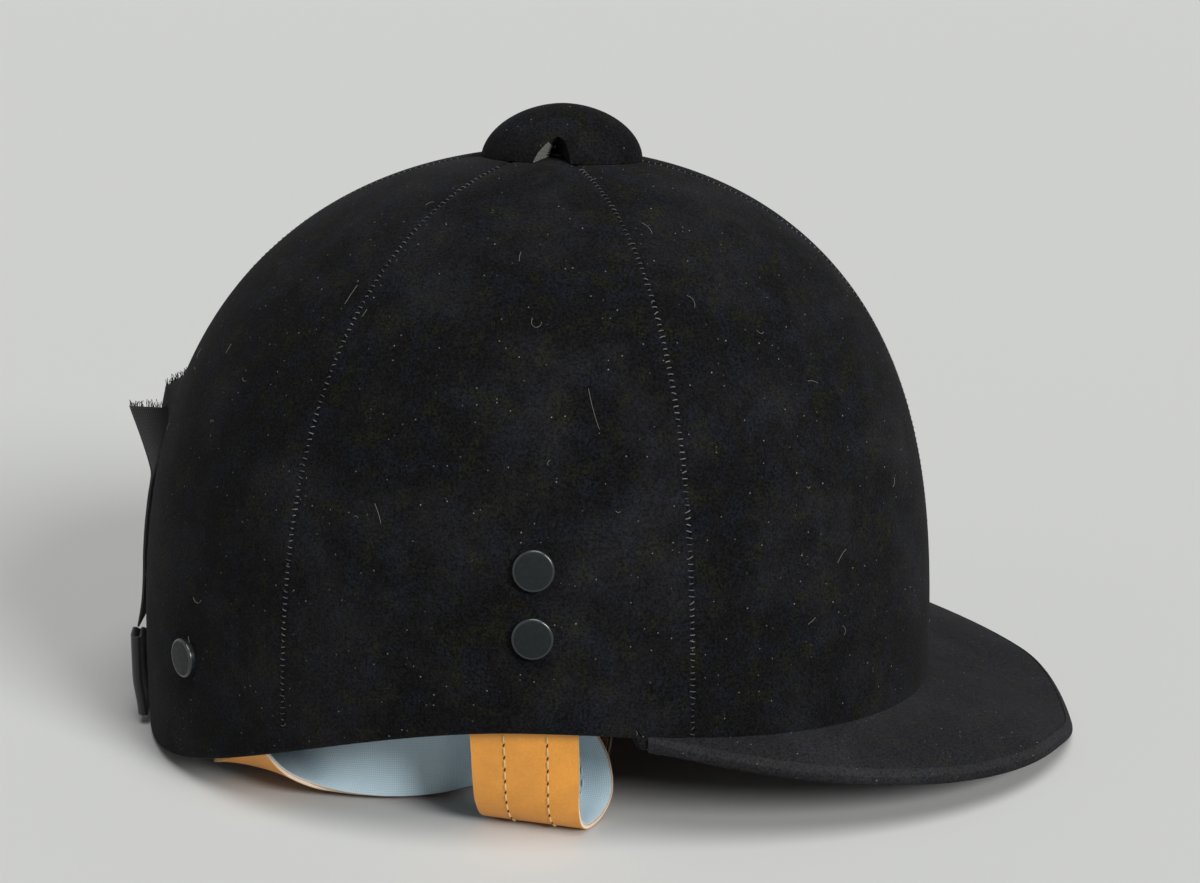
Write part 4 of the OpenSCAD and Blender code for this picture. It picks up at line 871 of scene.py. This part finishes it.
def strap_frame(kind, u):
    """Middle, direction across and outward direction of a strap at shares u."""
    if kind == "side":
        across = side_across(u)
        return curve_at(SIDE_PATH, u), across, unit(np.cross(across, slope(SIDE_PATH, u)))
    across = unit(curve_at(NAPE_ACROSS, u))
    return curve_at(NAPE_EDGE, u) + across * NAPE_W / 2, across, unit(np.cross(slope(NAPE_EDGE, u), across))


LEATHER_HIGH = LEATHER_T - STRAP_T / 2 - 0.02


def strap_pieces(kind, side, sign):
    """Leather with its cut edges, woven lining and, on a side strap, stitches of one strap."""
    width, count = (SIDE_W, 130) if kind == "side" else (NAPE_W, 150)
    frames = strap_frame(kind, np.linspace(0, 1, count))
    outer = strip(*frames, width, -STRAP_T / 2, LEATHER_HIGH)
    inner = strip(*frames, width - 0.3, LEATHER_HIGH + 0.02, STRAP_T / 2)
    made = [lofted(f"{kind}_strap_leather_{side}", None, mirrored(outer, sign), ["leather", "edge"],
                   "tan_leather", [f"{kind}_strap_{side}"], edges=BAND_EDGES),
            lofted(f"{kind}_lining_tape_{side}", None, mirrored(inner, sign), ["strap_lining"], "strap_cloth",
                   [f"{kind}_lining_{side}"])]
    if kind == "side":
        made += stitched(side, sign)
    # Each piece's place is baked into its mesh
    for one in made:
        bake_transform(one)


def stitched(side, sign):
    """Two rows of saddle stitches on both faces of a side strap, and slanted awl holes between them outside,
    drawn as dark tubes of painted shade.
    """
    pitch = bpy.context.scene.cap_harness.stitch_mm
    fine = np.linspace(0, 1, 1200)
    run = run_of(curve_at(SIDE_PATH, fine))
    at = np.arange(pitch * 0.7, run[-1] - pitch, pitch)
    k = np.linspace(-0.5, 0.5, 7)
    stitch_len, rise, sunk, thread_r, hole_half, slant = pitch * 0.52, 0.30, 0.12, 0.30, 0.6, -0.3
    rows = (-0.19 * SIDE_W, 0.21 * SIDE_W)
    arch = np.tile(rise * np.sqrt(np.maximum(0, 1 - (2 * k) ** 2)) - sunk, len(at))[:, None]

    def row(spots, offset, out_by):
        mid, across, out = strap_frame("side", np.interp(spots, run, fine))
        place, way = mid + across * offset + out * out_by, np.cross(out, across) + slant * across
        return mirrored(place, sign), mirrored(way, sign)

    spots = (at[:, None] + k * stitch_len).ravel()
    outside, inside = (np.concatenate([row(spots, offset, level * STRAP_T / 2 + level * arch)[0]
                                       for offset in rows]).reshape(-1, 7, 3) for level in (-1, 1))
    holes = []
    for offset in rows:
        middle, way = row(at + pitch / 2, offset, -STRAP_T / 2)
        holes.append(middle[:, None] + way[:, None] * np.linspace(-1, 1, 5)[:, None] * hole_half)
    hole_r = np.array([0.10, 0.24, 0.30, 0.24, 0.10])[None]
    return [piece(f"side_stitches_out_{side}", None, *tubes(outside, thread_r), ["thread"], "tan_leather"),
            piece(f"side_stitch_holes_{side}", None, *tubes(np.concatenate(holes), hole_r), ["hole"],
                  "tan_leather"),
            piece(f"side_stitches_in_{side}", None, *tubes(inside, thread_r), ["strap_lining"], "strap_cloth")]


class CAP_OT_harness(bpy.types.Operator):
    """Side and nape straps of tan leather with a woven lining and two rows of saddle stitches"""

    bl_idname = "cap.harness"
    bl_label = "Harness"

    def execute(self, context):
        for side, sign in SIDES:
            for kind in ("side", "nape"):
                strap_pieces(kind, side, sign)
        return {"FINISHED"}


CHIN_LAYER = STRAP_T / 2 + 0.6 + CHIN_T / 2
CHIN_X, CHIN_Y = map(float, roll_at(5.2, CHIN_LAYER)[:2])
BAR_Y, BAR_R, FOLD_LEN, SLOT_LEN, PRONG_SLOT = 24.0, 1.25, 12.0, 7.0, 4.0
KEEPER_T, KEEPER_GAP, KEEPER_W = 1.0, 0.3, 7.0
BILLET_Z, BUCKLE_Z, BILLET_TIP = CHIN_T / 2 + 0.3, KEEPER_T + 2 * KEEPER_GAP + CHIN_T / 2, -12.0
POINT_LEN, HOLES, HOLE_STEP, HOLE_FROM, HOLE_R = 7.0, 4, 9.0, 12.0, 1.6
LOOP_R = BAR_R + 0.15
BAR_Z = BUCKLE_Z + CHIN_T / 2 + LOOP_R
ALONG_X = np.array([1.0, 0, 0])


def chin_frames(flat_z, end_y, u):
    """Middle, across and outward directions of a chin strap half, from the roll to the table and inwards."""
    y, z = zip((CHIN_Y, 20), (CHIN_Y, 15), (CHIN_Y + 0.6, 9), (CHIN_Y + 3.4, flat_z + 2.2),
               (CHIN_Y + 8.5, flat_z + 0.1), (CHIN_Y + 15, flat_z), ((CHIN_Y + 15 + end_y) / 2, flat_z),
               (end_y, flat_z))
    path = xyz(CHIN_X, np.array(y), np.array(z))
    turn = ROLL_TURN * (1 - smooth(u * 1.6))
    across = xyz(cos(turn), -sin(turn), 0.0)
    return curve_at(path, u), across, unit(np.cross(across, slope(path, u)))


def chin_band(name, body, mid, across, out, width, replaces):
    """Chin strap band with creased lines beside its edges, leather on both faces."""
    s = np.array([-1, -0.93, -0.86, -0.79, -0.4, 0, 0.4, 0.79, 0.86, 0.93, 1])
    lift = CHIN_T / 2 - np.array([0.35, 0.03, 0.22, 0, 0, 0, 0, 0, 0.22, 0.03, 0.35])
    side = s * np.broadcast_to(width, (len(mid),))[:, None] / 2
    lofted(name, body, band(mid, across, out, side, -lift, lift), ["leather", "edge"], "tan_leather", replaces,
           edges=BAND_EDGES)


class CAP_OT_chin_strap(bpy.types.Operator):
    """The two halves of the chin strap, the fold round the buckle's bar, and the keeper"""

    bl_idname = "cap.chin_strap"
    bl_label = "Chin strap"

    def execute(self, context):
        self.billet()
        self.buckle_half()
        self.keeper()
        return {"FINISHED"}

    def billet(self):
        """Billet: a band whose last rings narrow to a point, with a dark disc of painted shade for each punched
        hole.
        """
        u, k = np.linspace(0, 1, 90), np.linspace(0, 1, 12)[1:]
        mid, across, out = chin_frames(BILLET_Z, BILLET_TIP - POINT_LEN, u)
        mid = np.concatenate([mid, xyz(CHIN_X, BILLET_TIP - POINT_LEN * (1 - k), BILLET_Z)])
        across = np.concatenate([across, np.repeat(ALONG_X[None], len(k), 0)])
        out = np.concatenate([out, np.repeat(out[-1:], len(k), 0)])
        width = CHIN_W * np.concatenate([np.ones(len(u)), np.sqrt(np.maximum(0, 1 - k ** 2)) * 0.88 + 0.12])
        chin_band("billet_leather", "harness_right", mid, across, out, width, ["billet_strap"])
        low, high = -0.05, 0.04
        disc = lathe([(0.02, low), (1.0, low), (HOLE_R, low), (HOLE_R, high), (1.0, high), (0.02, high)], 24)
        points, faces, _, _ = joined([
            loft(disc + [CHIN_X, BILLET_TIP - HOLE_FROM - HOLE_STEP * i, BILLET_Z + level], closed=True)
            for i in range(HOLES) for level in (CHIN_T / 2, -CHIN_T / 2)])
        piece("billet_holes", "harness_right", points, faces, ["hole"], "tan_leather")

    def buckle_half(self):
        """Left half: a band to the buckle, then two ears that go round its bar and back along the strap."""
        lap = 2.9
        mid, across, out = chin_frames(BUCKLE_Z, -BAR_Y - lap, np.linspace(0, 1, 90))
        chin_band("buckle_strap_leather", "harness_left", mirrored(mid, -1), across, mirrored(out, -1), CHIN_W,
                  ["buckle_strap"])
        ear, r = (CHIN_W - PRONG_SLOT) / 2, LOOP_R + CHIN_T / 2
        turn = np.linspace(-90, -270, 25)
        # Middle line of an ear: out along the strap's end, half a turn round the bar, then down onto the strap
        back = curve_at([[0, 1.2, r], [0, 3.6, r - 0.5], [0, SLOT_LEN - 1.6, r - 2.6],
                         [0, SLOT_LEN, r - 2 * LOOP_R + 0.1], [0, FOLD_LEN, r - 2 * LOOP_R + 0.06]],
                        np.linspace(0, 1, 24))
        line = np.concatenate([xyz(0.0, np.array([lap, lap / 2 - 0.05]), -r),
                               xyz(0.0, r * cos(turn), r * sin(turn)), back])
        out = np.cross(ALONG_X, unit(np.gradient(line, axis=0)))
        for name, place in (("inner", -1), ("outer", 1)):
            middle = line + [CHIN_X + place * (CHIN_W - ear) / 2, BAR_Y, BAR_Z]
            rings = strip(middle, ALONG_X, out, ear, -CHIN_T / 2, CHIN_T / 2)
            lofted(f"buckle_ear_{name}", "harness_left", rings, ["leather", "edge"], "tan_leather",
                   edges=BAND_EDGES)

    def keeper(self):
        """Keeper: a strip of leather bent round the strap as a rounded rectangle."""
        turn = np.linspace(0, 360, 65)[:-1]
        half_w, half_h = CHIN_W / 2 + KEEPER_GAP + KEEPER_T / 2, CHIN_T / 2 + KEEPER_GAP + KEEPER_T / 2
        x = half_w * np.sign(cos(turn)) * np.abs(cos(turn)) ** 0.22
        z = half_h * np.sign(sin(turn)) * np.abs(sin(turn)) ** 0.22
        line = xyz(CHIN_X + x, BAR_Y + FOLD_LEN + 2 + KEEPER_W / 2, BUCKLE_Z + z)
        out = unit(xyz(x / half_w ** 2 * np.abs(x / half_w) ** 3, 0.0,
                       z / half_h ** 2 * np.abs(z / half_h) ** 3))
        lift = KEEPER_T / 2 - np.array([0.25, 0.02, 0, 0, 0, 0.02, 0.25])
        rings = band(line, np.array([0, 1.0, 0]), out, np.linspace(-1, 1, 7) * KEEPER_W / 2, -lift, lift)
        lofted("leather_keeper", "keeper", rings, ["leather", "edge"], "tan_leather", ["strap_keeper"],
               closed=True, edges=(6, 13), sharp=50)


def rear_at(y, z, out):
    """Point on the back of the cap, y to the left, z high and out from the velvet."""
    c = power(1 - power(np.asarray(z, float) / (CROWN_H + out), TOP_POWER), 1 / SIDE_POWER)
    return wall_at(180 + np.degrees(np.arcsin(np.clip(y / ((HALF_WID + out) * c), -1, 1))), z, -out)


GATHER, KNOT_W, KNOT_OUT, LOOP_TURN, TAIL_FOLD = 0.66, 9.0, 4.6, 1.7, 13.0
KNOT_H = BOW_H * GATHER + 1
# How far the right and the left tail stand off the velvet, from the bow to their tops
TAIL_OUTS = ([3.0, 1.4, 0.75, 0.7, 0.7, 0.7, 0.9, 3.2, 6.8], [3.6, 1.9, 1, 0.9, 0.9, 0.9, 1.4, 3.4, 4.4])


class CAP_OT_bow(bpy.types.Operator):
    """Grosgrain bow: two flat loops, a knot with folds, and two tails that stand up behind the cap"""

    bl_idname = "cap.bow"
    bl_label = "Bow"

    def execute(self, context):
        self.loops()
        self.knot()
        self.tails()
        return {"FINISHED"}

    def loops(self):
        """Loop: across the cap's back in two layers joined by a half round turn, fuller away from the knot."""
        start, end = KNOT_W / 2 - 0.6, BOW_W / 2
        flat, full = end - LOOP_TURN, end * 0.45
        v = np.linspace(-1, 1, 25)[:, None]
        y, turn = np.linspace(start, flat, 26), np.linspace(90, -90, 13)[1:-1]

        def skin(inset):
            half = mix(1, LOOP_TURN, smooth((y - start) / full)) - inset
            ys = np.concatenate([y, flat + (LOOP_TURN - inset) * cos(turn), y[::-1]])
            hs = np.concatenate([half, (LOOP_TURN - inset) * sin(turn), -half[::-1]])
            ks = smooth((ys - start) / full)
            fold = 0.25 * np.cos(v * 3 * np.pi) * (1 - ks)
            out = mix(2, 3.4 - 1.2 * (1 - smooth(v + 1)), ks)
            return rear_at(-ys[None, :], BOW_Z + v * BOW_H / 2 * mix(GATHER, 1, ks), out + hs + fold)

        rings = out_and_back(skin(0.0), skin(RIBBON_T))
        for side, sign in SIDES:
            lofted(f"bow_loop_ribbon_{side}", "cap", mirrored(rings, sign), ["ribbon"], "ribbon",
                   [f"bow_loop_{side}"])

    def knot(self):
        """Knot: an oval wrap round the middle whose face has two soft folds."""
        y = np.linspace(-KNOT_W / 2, KNOT_W / 2, 25)[:, None]
        full = 1 - 0.12 * (2 * y / KNOT_W) ** 2
        v = np.linspace(-90, 90, 31)[None, :]
        fold = 0.28 * np.cos(2 * np.pi * 2.5 * y / KNOT_W)
        out = KNOT_OUT * full * (0.45 + 0.55 * power(cos(v), 0.5)) - 0.3 + fold * cos(v)
        y, high = y + 0 * v, sin(v) * KNOT_H / 2 * full
        face = rear_at(y, BOW_Z + high, np.minimum(out, KNOT_OUT))
        lofted("bow_knot_ribbon", "cap", out_and_back(face, rear_at(y, BOW_Z + high * 0.94, 0.4 + 0 * out)),
               ["ribbon"], "ribbon", ["bow_knot"])

    def tails(self):
        """Tail: a band along its middle line, frayed at its top, where the right one turns and flares out."""
        base = BOW_Z + BOW_H / 2 + 0.45
        s, u = np.linspace(-1, 1, 17), np.linspace(0, 1, 60)
        for (side, sign), top, out, flare in zip(SIDES, TAIL_TOPS, TAIL_OUTS, (1.0, 0.0)):
            k = np.linspace(0, 1, len(out))
            spine = rear_at(-mix(TAIL_FOLD / 2 + 1.5, RIBBON_W / 2 + 0.6, smooth(k * 2)), mix(base, top, k),
                            np.array(out))
            mid = curve_at(spine, u)
            width = s * mix(TAIL_FOLD, RIBBON_W, smooth(u * 2))[:, None] / 2
            lean = unit(rear_at(mid[:, 1] - 1, mid[:, 2], 0.0) - rear_at(mid[:, 1] + 1, mid[:, 2], 0.0))
            turned = flare * np.clip((u - 0.74) / 0.26, 0, 1)[:, None]
            across = unit(mix(lean, np.array([-0.39, -0.88, 0.26]), turned))
            outward = unit(np.cross(across, slope(spine, u)))
            rings = band(mid, across, outward, width, -RIBBON_T / 2, RIBBON_T / 2)
            lofted(f"tail_ribbon_{side}", f"tail_{side}", mirrored(rings, sign), ["ribbon"], "ribbon",
                   [f"ribbon_tail_{side}"])
            self.fray(side, sign, mid[-1] + across[-1] * width[-1][:, None])

    def fray(self, side, sign, edge):
        """Loose threads at the cut end: short curved tubes of uneven length."""
        rng, count = np.random.default_rng(5), 60
        k = rng.random(count)
        root = np.stack([np.interp(k, np.linspace(0, 1, len(edge)), edge[:, i]) for i in range(3)], -1)
        length_mm = 0.6 + 1.5 * rng.random(count)
        drift = rng.standard_normal((count, 3)) * 0.35
        j = np.linspace(0, 1, 5)[None, :, None]
        path = root[:, None] + j * length_mm[:, None, None] * np.array([0, 0, 1.0]) + drift[:, None] * j ** 2
        piece(f"tail_fray_{side}", f"tail_{side}", *tubes(mirrored(path, sign), 0.11, 5), ["ribbon"], "ribbon")


class CAP_OT_inside(bpy.types.Operator):
    """Sateen head lining, crown pad and leather sweatband"""

    bl_idname = "cap.inside"
    bl_label = "Inside"

    def execute(self, context):
        t = np.linspace(0, 360, 181)[:-1][:, None]
        z = rim_z(t) + 1.4
        f = mix(meridian(z), 89.8, np.linspace(0, 1, 60)[None, :] ** 0.9)
        # The lining gathers into shallow folds towards the crown
        fold = 0.25 * cos(t * 24) * smooth((f - 30) / 40)
        rings = out_and_back(crown_at(t, f, LINING_D), crown_at(t, f, LINING_IN_D + fold))
        lofted("sateen_lining", "cap", rings, ["head_lining"], "lining_cloth", ["head_lining"], closed=True)
        pad_edge = 66
        f = np.linspace(pad_edge, 89.8, 24)[None, :]
        thick = 1.0 + 6.2 * power((f - pad_edge) / 24, 0.45) + 0.35 * cos((f - pad_edge) * 45)
        rings = out_and_back(crown_at(t, f, BAND_D), crown_at(t, f, BAND_D + thick))
        pad = lofted("quilted_crown_pad", "cap", rings, ["head_lining"], "lining_cloth", ["crown_pad"],
                     closed=True)
        share = np.linspace(0, 1, 20)[None, :]
        z = z + SWEATBAND_H * share
        # Pared thinner at its lower edge
        inner_d = BAND_IN_D + 0.2 - 0.3 * (share < 0.03)
        rings = out_and_back(wall_at(t, z, BAND_D + 0.2), wall_at(t, z, inner_d))
        lofted("leather_sweatband", "cap", rings, ["dark_leather"], "dark_leather", ["sweatband"], closed=True)
        return {"FINISHED"}


class CAP_OT_lint(bpy.types.Operator):
    """Loose pale fibres caught in the velvet"""

    bl_idname = "cap.lint"
    bl_label = "Lint"

    def execute(self, context):
        count = context.scene.cap_velvet.fibres
        rng = np.random.default_rng(23)
        lowest, reach = 30, 145
        t = rng.random(count) * 360
        z = lowest + reach * rng.random(count)
        length_mm = 1.0 + rng.gamma(1.6, 1.6, count)
        turn = rng.random(count) * 2 * np.pi
        bend = rng.standard_normal(count) * 0.9
        k = np.linspace(0, 1, 9)[None, :] - 0.5
        heading = turn[:, None] + bend[:, None] * k * 2
        step = length_mm[:, None] / 9
        u, v = np.cumsum(np.cos(heading) * step, 1), np.cumsum(np.sin(heading) * step, 1)
        per_degree = np.linalg.norm(wall_at(t + 0.5, z, 0) - wall_at(t - 0.5, z, 0), axis=-1)[:, None]
        lift = -0.10 - 0.25 * rng.random((count, 1)) * (1 - (2 * k) ** 2)
        path = wall_at(t[:, None] + u / per_degree, z[:, None] + v, lift)
        piece("lint_fibres", "cap", *tubes(path, 0.055, 4), ["lint"], "velvet")
        return {"FINISHED"}


class CAP_OT_carried(bpy.types.Operator):
    """Materials of the CAD pieces that stay as they are"""

    bl_idname = "cap.carried"
    bl_label = "Carried pieces"

    def execute(self, context):
        for key, nodes in KEPT.items():
            for node in nodes:
                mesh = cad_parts[node].data
                mesh.materials.clear()
                mesh.materials.append(materials()[key])
                if not mesh.uv_layers:
                    mesh.uv_layers.new(name="length")
        return {"FINISHED"}


# Broad distant lamps light the table evenly as far as it can be seen: place, width in degrees, strength
LAMPS = {"overhead": ((0.15, -0.35, 1.3), 38, 1.9), "window": ((1.1, -1.1, 0.95), 20, 2.45),
         "fill": ((-1.2, -0.8, 0.7), 45, 0.12)}
TABLE_HALF, AIM_Z = 6, 0.08


def aimed(made, place, look):
    """Sets an object's place and turns its -Z along look."""
    made.location = place
    made.rotation_mode = "QUATERNION"
    made.rotation_quaternion = Vector(look).to_track_quat("-Z", "Y")


class CAP_OT_stage(bpy.types.Operator):
    """Table, backdrop colour, soft lamps and the camera at the photographed angle"""

    bl_idname = "cap.stage"
    bl_label = "Stage"

    def execute(self, context):
        scene, s = context.scene, context.scene.cap_stage
        mesh = bpy.data.meshes.new("table")
        corners = [(x * TABLE_HALF, y * TABLE_HALF, 0) for x, y in ((-1, -1), (1, -1), (1, 1), (-1, 1))]
        mesh.from_pydata(corners, [], [(0, 1, 2, 3)])
        mesh.materials.append(material("painted_table", Roughness=0.9, Base_Color=s.floor)[0])
        linked("table", mesh)
        self.world(scene, s)
        for name, (place, width, strength) in LAMPS.items():
            lamp = bpy.data.lights.new(name, "SUN")
            lamp.angle, lamp.energy = float(np.radians(width)), strength * s.light
            aimed(linked(name, lamp), place, Vector((0, 0, AIM_Z)) - Vector(place))
        scene.view_settings.view_transform = "Standard"
        self.camera(scene)
        return {"FINISHED"}

    def world(self, scene, s):
        """Soft light from all round, and the backdrop's colour where the camera or a shine sees it."""
        world = bpy.data.worlds.new("soft_studio")
        scene.world = world
        world.use_nodes = True
        tree = world.node_tree
        tree.nodes.clear()
        path = add(tree, "LightPath", out=None).outputs
        seen = add(tree, "Math", (path["Is Camera Ray"], path["Is Glossy Ray"]), operation="MAXIMUM")
        seen = add(tree, "Math", (seen, path["Is Transmission Ray"]), operation="MAXIMUM")
        lit = add(tree, "Background", {"Color": linear("#f2f4f8"), "Strength": 0.1 * s.light})
        shown = add(tree, "Background", {"Color": s.backdrop, "Strength": 0.9})
        add(tree, "OutputWorld", {"Surface": add(tree, "MixShader", (seen, lit, shown))}, None)

    def camera(self, scene):
        """Camera fitted to the photograph's outline: 65.7 mm lens, 15.8 degrees down, turned 4.1 degrees."""
        focal_px, image_w = 2191.0, 1200.0
        yaw, pitch = 4.07, 15.77
        right, back, height = 9.15, 675.0, 283.0
        data = bpy.data.cameras.new("photo_camera")
        data.sensor_width = 36.0
        data.lens = focal_px / image_w * data.sensor_width
        data.clip_start, data.clip_end = 0.01, 50
        scene.camera = linked("photo_camera", data)
        aimed(scene.camera, ((right * cos(yaw) + back * sin(yaw) + SHIFT) * MM,
                             (right * sin(yaw) - back * cos(yaw)) * MM, height * MM),
              (-sin(yaw) * cos(pitch), cos(yaw) * cos(pitch), -sin(pitch)))


class CAP_PT_panel(bpy.types.Panel):
    """Lists the cap's pieces and settings"""

    bl_label = "Hunt Cap"
    bl_idname = "CAP_PT_panel"
    bl_space_type = "VIEW_3D"
    bl_region_type = "UI"
    bl_category = "Hunt Cap"

    def draw(self, context):
        for group in SETTINGS:
            settings = getattr(context.scene, group)
            box = self.layout.box()
            for name in settings.__annotations__:
                box.prop(settings, name)
        for operator in OPERATORS:
            self.layout.operator(operator.bl_idname)


SETTINGS = {"cap_velvet": VelvetSettings, "cap_harness": HarnessSettings, "cap_trim": TrimSettings,
            "cap_stage": StageSettings}
OPERATORS = (CAP_OT_stage, CAP_OT_carried, CAP_OT_crown, CAP_OT_rim, CAP_OT_peak, CAP_OT_button, CAP_OT_rivets,
             CAP_OT_harness, CAP_OT_chin_strap, CAP_OT_bow, CAP_OT_inside, CAP_OT_lint)


def register():
    """Registers the settings, operators and panel."""
    for cls in (*SETTINGS.values(), *OPERATORS, CAP_PT_panel):
        bpy.utils.register_class(cls)
    for name, cls in SETTINGS.items():
        setattr(bpy.types.Scene, name, bpy.props.PointerProperty(type=cls))


def unregister():
    """Takes them away again."""
    for name in SETTINGS:
        delattr(bpy.types.Scene, name)
    for cls in (CAP_PT_panel, *OPERATORS[::-1], *list(SETTINGS.values())[::-1]):
        bpy.utils.unregister_class(cls)


def main():
    """Builds every piece."""
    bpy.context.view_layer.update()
    register()
    for operator in OPERATORS:
        getattr(bpy.ops.cap, operator.bl_idname.split(".")[1])()


if __name__ == "__main__":
    main()
